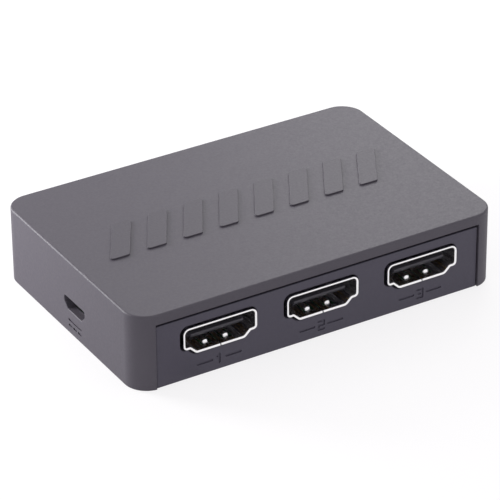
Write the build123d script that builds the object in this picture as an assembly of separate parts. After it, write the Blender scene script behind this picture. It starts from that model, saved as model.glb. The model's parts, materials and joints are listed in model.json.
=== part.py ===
from build123d import *
import os
from math import atan2, degrees, radians, tan

# A small box that switches three video inputs to one output.
# Lengths are in millimetres and angles in degrees. X runs along the input side, Y from the
# input side to the output side, and Z up. The origin is the middle of the underside.

os.makedirs("parts", exist_ok=True)

# Case
box_length = 75.0
box_depth = 50.0
box_height = 15.0
corner_radius = 4.5
top_edge_radius = 0.4
side_wall = 1.6
roof = 2.0
floor_wall = 1.5
seam = 0.15
overrun = 1.0

# Panels that stand up from the base and close the two long sides of the cover
panel_wall = 1.6
panel_recess = 0.4
panel_reach = 0.5
panel_top_gap = 0.6
lip_wall = 0.8
lip_drop = 1.2
lip_end_gap = 1.5

# Fastening: a post under the board, a boss above it and a screw through both
screw_end_inset = 4.9
screw_side_inset = 6.5
screw_radius = 1.0
screw_core = 0.78
screw_pitch = 0.6
screw_length = 8.0
screw_gap = 0.02
screw_spare_depth = 0.8
head_radius = 1.8
head_height = 1.2
head_edge = 0.25
head_sink_gap = 0.2
cross_length = 2.0
cross_width = 0.42
cross_depth = 0.6
shank_gap = 0.15
post_wall = 1.7
boss_wall = 1.3

# Circuit board
board_thickness = 1.6
board_end_gap = 0.9
board_panel_gap = 0.3
board_corner = 2.0
leg_reach_share = 0.4
slot_gap = 0.15
notch_gap = 0.25

# Raised design on the roof: a row of slanted bars
bar_end_margin = 6.3
bar_height = 11.1
bar_width = 4.0
bar_count = 8
bar_slant = 30.0
bar_corner = 0.6
bar_rise = 0.3
bar_row_shift = 0.95

# Plate recess on the underside
plate_end_margin = 16.5
plate_side_margin = 13.0
plate_corner = 1.5
plate_recess = 0.2

# Marks on the panels and beside the power slot
mark_depth = 0.2
mark_stroke = 0.42
digit_width = 1.1
digit_height = 2.1
digit_middle = 2.25
dash_length = 2.9
dash_gap = 0.9
current_mark_length = 4.4
current_mark_rise = 1.1
current_dash_share = 0.22

# Video sockets
video_count = 3
port_rise = 0.125
end_gap_share = 0.3052
video_row_shift = 0.3
opening_shift = 0.15
mouth_width = 14.0
mouth_height = 4.55
mouth_foot = 9.5
mouth_ledge = 11.9
mouth_ledge_height = 1.15
mouth_top_radius = 0.8
mouth_side_radius = 0.35
mouth_ledge_radius = 0.5
mouth_foot_radius = 0.6
smallest_radius = 0.05
video_sheet = 0.3
video_length = 11.4
video_reach = 0.4
mouth_lip = 0.12
mouth_lip_depth = 0.3
opening_gap = 0.31
shell_seam = 0.12
tail_width = 10.4
tail_room = 0.45
tail_opening = 2.3
finger_place = 2.07
finger_width = 1.4
finger_start = 1.6
finger_length = 4.2
finger_slit = 0.25
dimple_radius = 0.55
dimple_back = 0.7
video_tab_width = 1.2
video_tab_front = 3.4
video_tab_back = 9.2
tongue_sink = 1.2
tongue_width = 10.7
tongue_thickness = 1.0
tongue_rise = 0.2
tongue_chamfer = 0.2
tongue_root = 6.4
insert_gap = 0.03
upper_contact_count = 10
contact_pitch = 1.0
contact_width = 0.3
contact_thickness = 0.12
contact_sink = 1.2
contact_knee = 1.2
contact_foot = 0.8

# Power socket
power_place = -2.35
power_width = 6.9
power_height = 1.85
power_foot = 4.9
power_side = 1.1
power_top_radius = 0.25
power_low_radius = 0.2
power_sheet = 0.25
power_length = 5.0
power_wall_gap = 0.1
power_tab_width = 0.9
power_tab_front = 2.0
power_tab_back = 4.1
power_tongue_sink = 0.9
power_tongue_root = 3.2
power_tongue_width = 3.7
power_tongue_thickness = 0.6
power_tongue_drop = 0.3
power_contact_count = 5
power_contact_pitch = 0.65
power_contact_width = 0.3
power_tail_width = 3.4
power_slot_width = 7.5
power_slot_height = 2.4
power_slot_foot = 5.0
power_slot_side = 1.2
power_slot_top_radius = 0.5
power_slot_low_radius = 0.25
power_slot_drop = 0.2

# Select button and its switch
button_radius = 2.0
button_edge = 0.35
button_gap = 0.1
button_dish = 0.15
button_dish_radius = 1.4
flange_step = 0.5
flange_depth = 0.8
flange_gap = 0.1
press_travel = 0.3
press_spare = 0.5
switch_width = 6.0
switch_depth = 3.2
switch_frame = 0.2
switch_frame_depth = 2.6
switch_tab_width = 1.0
plunger_radius = 1.0
plunger_gap = 0.08
plunger_entry = 0.85
plunger_disc_radius = 1.6
plunger_disc_depth = 0.5
plunger_play = 0.15
dome_radius = 1.9
dome_spare = 0.12
dome_sheet = 0.08
dome_gap = 0.02
cavity_gap = 0.15
terminal_width = 0.5
terminal_thickness = 0.25
terminal_place = 2.1

# Status lights
light_count = 3
light_pitch = 6.0
light_radius = 1.5
light_flange = 0.4
light_flange_depth = 1.0
light_body = 3.9
light_gap = 0.1
light_sink = 0.1
light_lead = 0.45
light_lead_pitch = 2.54
light_lead_run = 1.5
lead_hole_gap = 0.1

# Video switch chip
chip_width = 10.0
chip_height = 1.4
chip_seat = 0.1
chip_edge = 0.25
chip_pin_count = 16
chip_pin_pitch = 0.5
chip_pin_width = 0.22
pin_thickness = 0.13
pin_shoulder = 0.45
pin_foot = 0.55
chip_place_shares = (0.0, 0.0)
pin_one_radius = 0.5
pin_one_depth = 0.08

# Memory chips
memory_length = 4.9
memory_width = 3.9
memory_height = 1.5
memory_pin_count = 4
memory_pin_pitch = 1.27
memory_pin_width = 0.42
memory_place_shares = ((-0.6, -0.18), (0.6, -0.18), (0.37, 0.0))

# Voltage regulator
regulator_length = 6.5
regulator_width = 3.5
regulator_height = 1.6
regulator_pin_count = 3
regulator_pin_pitch = 2.3
regulator_pin_width = 0.7
regulator_tab_width = 3.0
regulator_place_shares = (-0.63, 0.2)

# Hot-plug transistors
transistor_length = 2.9
transistor_width = 1.3
transistor_height = 1.0
transistor_pin_width = 0.4
transistor_pin_spread = 1.9
transistor_shoulder = 0.2
transistor_foot = 0.35
transistor_place_shares = ((-0.29, -0.2), (0.29, -0.2), (-0.3, 0.12))

# Clock crystal
crystal_length = 10.5
crystal_width = 3.7
crystal_base_step = 0.4
crystal_base_height = 0.6
crystal_height = 3.2
crystal_edge = 0.5
crystal_place_shares = (0.68, 0.3)

# Bulk capacitor
bulk_radius = 2.5
bulk_height = 5.2
bulk_base_width = 5.3
bulk_base_height = 1.0
bulk_base_chamfer = 1.0
bulk_groove = 0.15
bulk_place_shares = (-0.86, 0.36)

# Surge arrays beside each video socket
surge_length = 2.5
surge_width = 1.0
surge_height = 0.5
surge_spread = 2.7
surge_gap = 0.9

# Ceramic capacitors and chip resistors
ceramic_length = 1.6
ceramic_width = 0.8
ceramic_height = 0.8
resistor_height = 0.45
cap_share = 0.24
ceramic_near_chip_shares = (
    (-1.28, -0.42), (1.28, -0.42), (-1.28, 0.85), (1.28, 0.85), (-0.9, 1.1), (0.9, 1.1),
)
ceramic_place_shares = (
    (-0.47, 0.08), (-0.47, 0.34), (0.5, 0.12), (0.86, 0.08), (-0.78, 0.12), (-0.36, 0.44),
)
resistor_near_chip_shares = ((-0.9, -1.14), (0.9, -1.14))
resistor_place_shares = (
    (-0.42, -0.08), (-0.42, -0.2), (0.44, -0.3), (0.47, -0.16), (-0.8, -0.32), (0.8, -0.32),
    (0.46, 0.44), (0.36, 0.44), (-0.62, 0.5), (-0.44, 0.5),
)
digit_path_shares = {
    1: (((-0.6, 0.55), (0.1, 1), (0.1, -1)),),
    2: (((-1, 1), (1, 1), (1, 0), (-1, 0), (-1, -1), (1, -1)),),
    3: (((-1, 1), (1, 1), (1, -1), (-1, -1)), ((-0.4, 0), (1, 0))),
}

# Heights and faces that several pieces share
roof_under = box_height - roof
port_height = video_sheet + mouth_height / 2
port_middle = box_height / 2 + port_rise
board_top = port_middle - port_height
board_bottom = board_top - board_thickness
leg_end = board_bottom - leg_reach_share * (board_bottom - floor_wall)
panel_outer = box_depth / 2 - panel_recess
panel_inner = panel_outer - panel_wall
panel_half = box_length / 2 - corner_radius + panel_reach
panel_top = roof_under - panel_top_gap
cavity_half_length = box_length / 2 - side_wall
cavity_half_depth = box_depth / 2 - side_wall
board_half_length = cavity_half_length - board_end_gap
board_half_depth = panel_inner - board_panel_gap
video_mouth = panel_outer + video_reach
power_mouth = -cavity_half_length + power_wall_gap
power_middle = board_top + power_sheet + power_height / 2
screw_x = box_length / 2 - screw_end_inset
screw_y = box_depth / 2 - screw_side_inset
screw_places = [(x, y) for x in (-screw_x, screw_x) for y in (-screw_y, screw_y)]
post_radius = head_radius + head_sink_gap + post_wall / 2
shank_hole = screw_radius + shank_gap
boss_radius = screw_radius + boss_wall
socket_width = mouth_width + 2 * (video_sheet + mouth_lip)
free_length = 2 * (screw_x - boss_radius) - video_count * socket_width
video_pitch = socket_width + free_length / (video_count - 1 + 2 * end_gap_share)
video_places = [
    video_row_shift + (i - (video_count - 1) / 2) * video_pitch for i in range(video_count)
]
button_place = (video_count - 1) / 2 * video_pitch
flange_front = panel_inner - flange_gap
flange_back = flange_front - flange_depth
switch_front = flange_back - press_travel - press_spare
dome_rise = press_travel + dome_spare
light_places = [-button_place + (i - (light_count - 1) / 2) * light_pitch for i in range(light_count)]
light_front = box_depth / 2 - light_sink


# Simple shapes

def block(x0, x1, y0, y1, z0, z1):
    """A plain block between two opposite corners."""
    middle = Pos((x0 + x1) / 2, (y0 + y1) / 2, (z0 + z1) / 2)
    return middle * Box(x1 - x0, y1 - y0, z1 - z0)


def post(radius, z0, z1, x=0, y=0):
    """An upright round post."""
    return Pos(x, y, (z0 + z1) / 2) * Cylinder(radius, z1 - z0)


def rod(radius, y0, y1, x, z):
    """A round rod that lies along Y."""
    return Pos(x, (y0 + y1) / 2, z) * Rot(X=-90) * Cylinder(radius, y1 - y0)


def slab(length, depth, radius, z0, z1):
    """A flat slab with round upright corners, centred on the origin."""
    return extrude(Pos(0, 0, z0) * RectangleRounded(length, depth, radius), amount=z1 - z0)


def grown(corners, amount):
    """Moves every side of an anticlockwise outline outwards."""
    sides = []
    for start, end in zip(corners, corners[1:] + corners[:1]):
        along = (Vector(*end) - Vector(*start)).normalized()
        sides.append((Vector(*start) + Vector(along.Y, -along.X) * amount, along))
    moved = []
    for (p, a), (q, b) in zip(sides[-1:] + sides[:-1], sides):
        step = q - p
        meet = p + a * ((step.X * b.Y - step.Y * b.X) / (a.X * b.Y - a.Y * b.X))
        moved.append((meet.X, meet.Y))
    return moved


def prism(outline, grow, y0, y1):
    """A solid along Y with a socket's outline, grown by an amount; inner corners have minus radii."""
    corners, radii = outline
    bends = [r + grow if r > 0 else max(-r - grow, smallest_radius) for r in radii]
    face = make_face(FilletPolyline(*grown(corners, grow), radius=bends, close=True))
    return extrude(Pos(0, y0, 0) * (Plane.XZ * face), amount=y0 - y1)


def bent_strip(start, knee, end, high, low, thickness, width):
    """A flat strip that runs out along Y at one height, drops at a knee and ends in a foot."""
    corners = [
        (start, high + thickness), (knee, high + thickness), (knee, low + thickness),
        (end, low + thickness), (end, low), (knee - thickness, low),
        (knee - thickness, high), (start, high),
    ]
    face = make_face(Polyline(*corners, close=True))
    return extrude(Pos(-width / 2, 0, 0) * (Plane.YZ * face), amount=width)


def stroke(start, end, width):
    """A drawn line with round ends."""
    line = Vector(*end) - Vector(*start)
    turn = degrees(atan2(line.Y, line.X))
    place = Vector(*start) + line / 2
    return Pos(place.X, place.Y) * Rot(Z=turn) * SlotCenterToCenter(line.length, width)


def strokes(path, width):
    """A drawn path of straight lines."""
    return sum((stroke(a, b, width) for a, b in zip(path, path[1:])), Sketch())


def row(count, pitch):
    """Places of a row that is centred on zero."""
    return [(i - (count - 1) / 2) * pitch for i in range(count)]


# Socket outlines, seen from the mouth side, with the socket standing on height zero

def video_outline():
    """The inside of a video socket's shell: wide at the top, stepped in at the foot."""
    low, high = video_sheet, video_sheet + mouth_height
    ledge = low + mouth_ledge_height
    half, foot, inner = mouth_width / 2, mouth_foot / 2, mouth_ledge / 2
    corners = [
        (-foot, low), (foot, low), (inner, ledge), (half, ledge),
        (half, high), (-half, high), (-half, ledge), (-inner, ledge),
    ]
    radii = [
        mouth_foot_radius, mouth_foot_radius, -mouth_ledge_radius, mouth_side_radius,
        mouth_top_radius, mouth_top_radius, mouth_side_radius, -mouth_ledge_radius,
    ]
    return corners, radii


def power_outline(width, height, foot, side, top_radius, low_radius, low):
    """A power socket's outline: square at the top, with its lower corners cut off."""
    high = low + height
    corners = [
        (-foot / 2, low), (foot / 2, low), (width / 2, high - side),
        (width / 2, high), (-width / 2, high), (-width / 2, high - side),
    ]
    return corners, [low_radius] * 3 + [top_radius] * 2 + [low_radius]


def power_inside():
    """The inside of the power socket's shell."""
    return power_outline(
        power_width, power_height, power_foot, power_side,
        power_top_radius, power_low_radius, power_sheet,
    )


# Marks, drawn flat with X to the right

def digit(value):
    """A plain numeral."""
    half, rise = digit_width / 2, digit_height / 2 - mark_stroke / 2
    paths = [[(x * half, y * rise) for x, y in path] for path in digit_path_shares[value]]
    return sum((strokes(path, mark_stroke) for path in paths), Sketch())


def input_mark(value):
    """A numeral between two short dashes."""
    near = digit_width / 2 + dash_gap
    far = near + dash_length
    dashes = stroke((near, 0), (far, 0), mark_stroke) + stroke((-near, 0), (-far, 0), mark_stroke)
    return digit(value) + dashes


def current_mark():
    """A long dash over three short ones."""
    half, dash = current_mark_length / 2, current_mark_length * current_dash_share
    mark = stroke((-half, current_mark_rise / 2), (half, current_mark_rise / 2), mark_stroke)
    for x in row(3, (current_mark_length - dash) / 2):
        mark += stroke((x - dash / 2, -current_mark_rise / 2), (x + dash / 2, -current_mark_rise / 2),
                       mark_stroke)
    return mark


def output_mark():
    """A plain dash under the output socket."""
    reach = digit_width / 2 + dash_gap + dash_length
    return stroke((-reach, 0), (reach, 0), mark_stroke)


def engraved(mark, x, side):
    """A mark as a solid that cuts into a panel: side is 1 at the inputs and -1 at the output."""
    plane = Plane((x, -side * panel_outer, digit_middle), x_dir=(side, 0, 0), z_dir=(0, -side, 0))
    return extrude(Pos(0, 0, -mark_depth) * mark, amount=mark_depth + overrun).moved(plane.location)


# Case

def slanted_bars():
    """The raised bars on the roof."""
    lean = bar_height * tan(radians(bar_slant)) / 2
    half, rise = bar_width / 2, bar_height / 2
    outline = [(-half - lean, -rise), (half - lean, -rise), (half + lean, rise), (lean - half, rise)]
    bar = make_face(FilletPolyline(*outline, radius=bar_corner, close=True))
    solid = extrude(bar, amount=roof / 2 + bar_rise)
    pitch = (box_length - 2 * bar_end_margin - bar_width - 2 * lean) / (bar_count - 1)
    return [Pos(x, bar_row_shift, box_height - roof / 2) * solid for x in row(bar_count, pitch)]


def power_slot():
    """The slot in the left wall, as the solid that cuts it."""
    low = power_middle - power_slot_drop - power_slot_height / 2
    outline = power_outline(
        power_slot_width, power_slot_height, power_slot_foot, power_slot_side,
        power_slot_top_radius, power_slot_low_radius, low,
    )
    cut = prism(outline, 0, -side_wall - overrun, overrun)
    return Pos(-cavity_half_length, power_place, 0) * Rot(Z=-90) * cut


def power_mark():
    """The mark under the power slot, as the solid that cuts it."""
    mark = extrude(Pos(0, 0, -mark_depth) * current_mark(), amount=mark_depth + overrun)
    plane = Plane((-box_length / 2, power_place, digit_middle), x_dir=(0, -1, 0), z_dir=(-1, 0, 0))
    return mark.moved(plane.location)


def top_cover():
    """The cover: roof, walls, screw bosses and the ribs behind both panels."""
    shell = slab(box_length, box_depth, corner_radius, 0, box_height)
    shell = fillet(shell.faces().sort_by(Axis.Z)[-1].edges(), top_edge_radius)
    inside = corner_radius - side_wall
    shell -= slab(2 * cavity_half_length, 2 * cavity_half_depth, inside, -overrun, roof_under)
    shell -= block(-panel_half, panel_half, -box_depth, box_depth, -overrun, roof_under)
    lip_half = panel_half - lip_end_gap
    lip_outer = panel_inner - seam
    for side in (-1, 1):
        y0, y1 = sorted((side * lip_outer, side * (lip_outer - lip_wall)))
        shell += block(-lip_half, lip_half, y0, y1, roof_under - lip_drop, roof_under)
    pilot_top = floor_wall + screw_length + screw_spare_depth
    for x, y in screw_places:
        shell += post(boss_radius, board_top, roof_under, x, y)
        shell -= post(screw_radius + screw_gap, board_top - overrun, pilot_top, x, y)
    return shell + slanted_bars() - power_slot() - power_mark()


def video_opening(x, side):
    """The solid that cuts a video socket's opening through a panel."""
    cut = prism(video_outline(), video_sheet + mouth_lip + opening_gap, -overrun, panel_wall + overrun)
    turn = Rot(Z=0) if side > 0 else Rot(Z=180)
    return Pos(x, -side * panel_outer, board_top) * turn * cut


def base():
    """The base: floor, the two end panels and the posts under the board."""
    fit = side_wall + seam
    plate = slab(box_length - 2 * fit, box_depth - 2 * fit, corner_radius - fit, 0, floor_wall)
    half = panel_half - seam
    plate += block(-half, half, -panel_outer, panel_outer, 0, floor_wall)
    for side in (-1, 1):
        y0, y1 = sorted((side * panel_inner, side * panel_outer))
        plate += block(-half, half, y0, y1, 0, panel_top)
    for x, y in screw_places:
        plate += post(post_radius, floor_wall, board_bottom, x, y)
        plate -= post(shank_hole, -overrun, board_bottom + overrun, x, y)
        plate -= post(head_radius + head_sink_gap, -overrun, floor_wall, x, y)
    plate -= slab(box_length - 2 * plate_end_margin, box_depth - 2 * plate_side_margin,
                  plate_corner, -overrun, plate_recess)
    for number, x in enumerate(video_places, 1):
        place = x - opening_shift
        plate -= [video_opening(place, 1), engraved(input_mark(number), place, 1)]
    plate -= [video_opening(0, -1), engraved(output_mark(), 0, -1)]
    y0, y1 = panel_inner - overrun, panel_outer + overrun
    plate -= rod(button_radius + button_gap, y0, y1, button_place, port_middle)
    for number, x in enumerate(reversed(light_places), 1):
        plate -= rod(light_radius + light_gap, y0, y1, x, port_middle)
        plate -= engraved(digit(number), x, -1)
    return plate


def case_screws():
    """Four self-tapping screws, heads down, with ridged shanks and cross recesses."""
    seat = floor_wall
    shank = [(0, seat), (screw_core, seat)]
    turns = int((screw_length - screw_pitch) / screw_pitch)
    for i in range(turns):
        shank.append((screw_radius, seat + (i + 1) * screw_pitch - screw_pitch / 2))
        shank.append((screw_core, seat + (i + 1) * screw_pitch))
    shank.append((0, seat + screw_length))
    body = revolve(Plane.XZ * make_face(Polyline(*shank, close=True)), Axis.Z)
    head = post(head_radius, seat - head_height, seat)
    head = fillet(head.faces().sort_by(Axis.Z)[0].edges(), head_edge)
    low = seat - head_height
    for turn in (0, 90):
        arm = block(-cross_length / 2, cross_length / 2, -cross_width / 2, cross_width / 2,
                    low - overrun, low + cross_depth)
        head -= Rot(Z=turn) * arm
    screw = body + head
    return [Pos(x, y, 0) * screw for x, y in screw_places]


# Sockets

def side_tabs(half_width, sheet, fronts, tab_width, top):
    """Legs that go down from a socket's side walls through the board."""
    return [
        block(*sorted((side * half_width, side * (half_width + sheet))),
              y - tab_width / 2, y + tab_width / 2, leg_end - board_top, top)
        for side in (-1, 1) for y in fronts
    ]


def sheet_tube(outline, sheet, length, tails, room, opening):
    """A folded sheet-metal tube with a closed back, open at the foot of the back for its tails."""
    tube = prism(outline, sheet, 0, length) - prism(outline, 0, -overrun, length - sheet)
    return tube - block(-tails / 2, tails / 2, length - opening, length + overrun, -overrun, room)


def spring_finger(x, z0, z1):
    """The three slits round a spring finger, as the solids that cut them."""
    half, back = finger_width / 2, finger_start + finger_length
    slits = [block(x - half, x + half, finger_start - finger_slit, finger_start, z0, z1)]
    for side in (-1, 1):
        x0, x1 = sorted((x + side * half, x + side * (half + finger_slit)))
        slits.append(block(x0, x1, finger_start - finger_slit, back, z0, z1))
    return slits


def video_shell():
    """A video socket's shell: tube, front lip, legs, spring fingers and their dimples."""
    outline = video_outline()
    lip = prism(outline, video_sheet + mouth_lip, 0, mouth_lip_depth)
    lip -= prism(outline, 0, -overrun, mouth_lip_depth + overrun)
    shell = sheet_tube(outline, video_sheet, video_length, tail_width, tail_room, tail_opening) + lip
    shell += side_tabs(mouth_width / 2, video_sheet, (video_tab_front, video_tab_back),
                       video_tab_width, port_height)
    top = video_sheet + mouth_height
    shell -= block(-shell_seam / 2, shell_seam / 2, -overrun, video_length - tail_opening,
                   -overrun, video_sheet + smallest_radius)
    for x in (-finger_place, finger_place):
        shell -= spring_finger(x, -overrun, video_sheet + smallest_radius)
        shell -= spring_finger(x, top - smallest_radius, top + video_sheet + overrun)
        y = finger_start + dimple_back
        cut_off = block(x - finger_width, x + finger_width, 0, finger_length, -overrun, 0)
        shell += Pos(x, y, video_sheet) * Sphere(dimple_radius) - cut_off
        shell += Pos(x, y, top) * (Sphere(dimple_radius) - block(
            -finger_width, finger_width, -finger_width, finger_width, video_sheet, overrun))
    return shell


def contact_row(count, pitch, width, start, knee, end, high):
    """A row of contacts from a tongue to their feet on the board."""
    strip = bent_strip(start, knee, end, high, 0, contact_thickness, width)
    return [Pos(x, 0, 0) * strip for x in row(count, pitch)]


def video_contacts():
    """The contacts of a video socket: a full row above the tongue and one less below it."""
    tongue_low = port_height + tongue_rise - tongue_thickness / 2
    knee = video_length - contact_knee
    end = video_length + contact_foot
    start = tongue_sink + contact_sink
    sunk = contact_thickness / 2
    upper = contact_row(upper_contact_count, contact_pitch, contact_width, start, knee, end,
                        tongue_low + tongue_thickness - sunk)
    lower = contact_row(upper_contact_count - 1, contact_pitch, contact_width, start, knee, end,
                        tongue_low - sunk)
    return upper + lower


def video_insulator():
    """The moulded block and tongue of a video socket."""
    outline = video_outline()
    back = video_length - video_sheet - insert_gap
    middle = port_height + tongue_rise
    tongue = block(-tongue_width / 2, tongue_width / 2, tongue_sink, tongue_root + insert_gap,
                   middle - tongue_thickness / 2, middle + tongue_thickness / 2)
    front = tongue.faces().sort_by(Axis.Y)[0].edges()
    tongue = chamfer(front, tongue_chamfer)
    return prism(outline, -insert_gap, tongue_root, back) + tongue - video_contacts()


def power_shell():
    """The power socket's shell, standing on the board."""
    shell = sheet_tube(power_inside(), power_sheet, power_length, power_tail_width, tail_room,
                       contact_knee)
    top = power_sheet + power_height - power_side / 2
    return shell + side_tabs(power_width / 2, power_sheet, (power_tab_front, power_tab_back),
                             power_tab_width, top)


def power_contacts_list():
    """The contacts under the power socket's tongue."""
    tongue_low = power_sheet + power_height - power_tongue_drop - power_tongue_thickness
    knee = power_length - power_sheet - contact_thickness
    return contact_row(power_contact_count, power_contact_pitch, power_contact_width,
                       power_tongue_sink + contact_sink / 2, knee, power_length + contact_foot,
                       tongue_low - contact_thickness / 2)


def power_insulator():
    """The moulded block and tongue of the power socket."""
    high = power_sheet + power_height - power_tongue_drop
    tongue = block(-power_tongue_width / 2, power_tongue_width / 2, power_tongue_sink,
                   power_tongue_root + insert_gap, high - power_tongue_thickness, high)
    back = power_length - power_sheet - insert_gap
    body = prism(power_inside(), -insert_gap, power_tongue_root, back) + tongue
    return body - power_contacts_list()


# Select button

def select_button():
    """The button: a round cap with a dished face, a flange behind the panel and a blind hole."""
    front = box_depth / 2
    cap = rod(button_radius, flange_back, front, button_place, port_middle)
    cap = fillet(cap.faces().sort_by(Axis.Y)[-1].edges(), button_edge)
    cap += rod(button_radius + flange_step, flange_back, flange_front, button_place, port_middle)
    cap -= rod(button_dish_radius, front - button_dish, front + overrun, button_place, port_middle)
    hole_end = flange_back + plunger_entry + insert_gap
    return cap - rod(plunger_radius + insert_gap, flange_back - overrun, hole_end,
                     button_place, port_middle)


def switch_plunger():
    """The switch's own plunger: a disc behind the frame and a stem that enters the button."""
    disc_front = switch_front - switch_frame - plunger_play
    disc = rod(plunger_disc_radius, disc_front - plunger_disc_depth, disc_front,
               button_place, port_middle)
    return disc + rod(plunger_radius, disc_front, flange_back + plunger_entry,
                      button_place, port_middle)


def switch_dome():
    """The domed spring that the plunger presses."""
    apex = switch_front - switch_frame - plunger_play - plunger_disc_depth - dome_gap
    rim = apex - dome_rise - dome_sheet
    upper = ThreePointArc((-dome_radius, dome_sheet), (0, dome_rise + dome_sheet),
                          (dome_radius, dome_sheet))
    lower = ThreePointArc((-dome_radius, 0), (0, dome_rise), (dome_radius, 0))
    ends = [Line(upper @ 0, lower @ 0), Line(upper @ 1, lower @ 1)]
    section = make_face([upper, lower] + ends)
    half = section & Pos(dome_radius, 0) * Rectangle(2 * dome_radius, 4 * dome_radius)
    dome = revolve(half, Axis.Y)
    return Pos(button_place, rim, port_middle) * dome


def switch_housing():
    """The switch's moulded housing, with the round well that holds the dome."""
    back = switch_front - switch_frame - switch_depth
    half = switch_width / 2
    height = 2 * port_height
    body = block(button_place - half, button_place + half, back, switch_front - switch_frame,
                 board_top, board_top + height)
    well = switch_front - switch_frame - plunger_play - plunger_disc_depth
    well -= dome_gap + dome_rise + dome_sheet
    return body - rod(dome_radius + cavity_gap, well, switch_front, button_place, port_middle)


def switch_frame_plate():
    """The folded metal frame over the switch's front and sides, with two legs."""
    half = switch_width / 2
    height = 2 * port_height
    top = board_top + height
    plate = block(button_place - half - switch_frame, button_place + half + switch_frame,
                  switch_front - switch_frame, switch_front, board_top, top)
    plate -= rod(plunger_radius + plunger_gap, switch_front - overrun, switch_front + overrun,
                 button_place, port_middle)
    back = switch_front - switch_frame_depth
    for side in (-1, 1):
        x0, x1 = sorted((button_place + side * half, button_place + side * (half + switch_frame)))
        plate += block(x0, x1, back, switch_front, board_top, top)
        plate += block(x0, x1, back, back + switch_tab_width, leg_end, board_top)
    return plate


def terminal_places():
    """Places of the switch's two signal terminals."""
    y = switch_front - switch_frame - switch_depth + terminal_width
    return [(button_place + x, y) for x in (-terminal_place, terminal_place)]


def switch_terminals():
    """The switch's terminals, from the housing's foot through the board."""
    half, thin = terminal_width / 2, terminal_thickness / 2
    return [block(x - half, x + half, y - thin, y + thin, leg_end, board_top)
            for x, y in terminal_places()]


# Status lights

def light_back():
    """The back of a status light's flange."""
    return light_front - light_radius - light_body


def status_light(x):
    """A round-nosed light with a flange at its back."""
    back = light_back()
    body = rod(light_radius, back, light_front - light_radius, x, port_middle)
    body += Pos(x, light_front - light_radius, port_middle) * Sphere(light_radius)
    flange = rod(light_radius + light_flange, back, back + light_flange_depth, x, port_middle)
    return body + flange


def light_leads():
    """Two bent leads behind each light, down through the board."""
    back = light_back()
    knee = back - light_lead_run
    half = light_lead / 2
    leads = []
    for x in light_places:
        for lead in row(2, light_lead_pitch):
            x0, x1 = x + lead - half, x + lead + half
            run = block(x0, x1, knee, back, port_middle - half, port_middle + half)
            leads.append(run + block(x0, x1, knee, knee + light_lead, leg_end, port_middle + half))
    return leads


# Circuit board and what is soldered to it

def on_board(share):
    """A place on the board from its shares of the half length and half depth."""
    return share[0] * board_half_length, share[1] * board_half_depth


def video_locations():
    """Where each video socket's mouth stands, inputs first and the output last."""
    places = [Pos(x, -video_mouth, board_top) for x in video_places]
    return places + [Pos(0, video_mouth, board_top) * Rot(Z=180)]


def power_location():
    """Where the power socket's mouth stands."""
    return Pos(power_mouth, power_place, board_top) * Rot(Z=-90)


def leg_slots():
    """The slots that the sockets' legs pass through, in the same places as the legs."""
    def slots(half_width, sheet, fronts, width):
        return [
            block(*sorted((side * (half_width - slot_gap), side * (half_width + sheet + slot_gap))),
                  y - width / 2 - slot_gap, y + width / 2 + slot_gap,
                  -board_thickness - overrun, overrun)
            for side in (-1, 1) for y in fronts
        ]
    video = slots(mouth_width / 2, video_sheet, (video_tab_front, video_tab_back), video_tab_width)
    power = slots(power_width / 2, power_sheet, (power_tab_front, power_tab_back), power_tab_width)
    found = [place * cut for place in video_locations() for cut in video]
    return found + [power_location() * cut for cut in power]


def switch_slots():
    """The board's slots for the switch's frame and terminals."""
    z0, z1 = board_bottom - overrun, board_top + overrun
    back = switch_front - switch_frame_depth
    half = switch_width / 2
    cuts = []
    for side in (-1, 1):
        x0, x1 = sorted((side * (half - slot_gap), side * (half + switch_frame + slot_gap)))
        cuts.append(block(button_place + x0, button_place + x1, back - slot_gap,
                          back + switch_tab_width + slot_gap, z0, z1))
    for x, y in terminal_places():
        wide, thin = terminal_width / 2 + slot_gap, terminal_thickness / 2 + slot_gap
        cuts.append(block(x - wide, x + wide, y - thin, y + thin, z0, z1))
    return cuts


def circuit_board():
    """The board, with its screw holes, leg slots, lead holes and the notch behind the button."""
    board = slab(2 * board_half_length, 2 * board_half_depth, board_corner, board_bottom, board_top)
    z0, z1 = board_bottom - overrun, board_top + overrun
    board -= [post(shank_hole, z0, z1, x, y) for x, y in screw_places]
    board -= leg_slots() + switch_slots()
    wide = button_radius + flange_step + notch_gap
    board -= block(button_place - wide, button_place + wide, switch_front + notch_gap,
                   box_depth, z0, z1)
    lead_y = light_back() - light_lead_run + light_lead / 2
    hole = light_lead / 2 + lead_hole_gap
    for x in light_places:
        board -= [post(hole * 2 ** 0.5, z0, z1, x + lead, lead_y) for lead in row(2, light_lead_pitch)]
    return board


def pin_row(count, pitch, width, body_half, high, shoulder, foot):
    """Bent pins along one side of a chip, from its side wall down to the board."""
    knee = body_half + shoulder
    pin = bent_strip(body_half, knee, knee + foot, high, 0, pin_thickness, width)
    return [Pos(x, 0, 0) * pin for x in row(count, pitch)]


def chip_body(length, width, height, edge):
    """A moulded chip body with a bevelled top."""
    body = block(-length / 2, length / 2, -width / 2, width / 2, chip_seat, chip_seat + height)
    return chamfer(body.faces().sort_by(Axis.Z)[-1].edges(), edge)


def switch_chip():
    """The square video switch chip, with a pin-one dimple."""
    body = chip_body(chip_width, chip_width, chip_height, chip_edge)
    corner = chip_width / 2 - pin_one_radius - 2 * chip_edge
    top = chip_seat + chip_height
    body -= post(pin_one_radius, top - pin_one_depth, top + overrun, -corner, -corner)
    return Pos(*on_board(chip_place_shares), board_top) * body


def switch_chip_pins():
    """The pins on the four sides of the video switch chip."""
    side = pin_row(chip_pin_count, chip_pin_pitch, chip_pin_width, chip_width / 2,
                   chip_seat + chip_height / 2, pin_shoulder, pin_foot)
    place = Pos(*on_board(chip_place_shares), board_top)
    return [place * Rot(Z=turn) * pin for turn in (0, 90, 180, 270) for pin in side]


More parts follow.
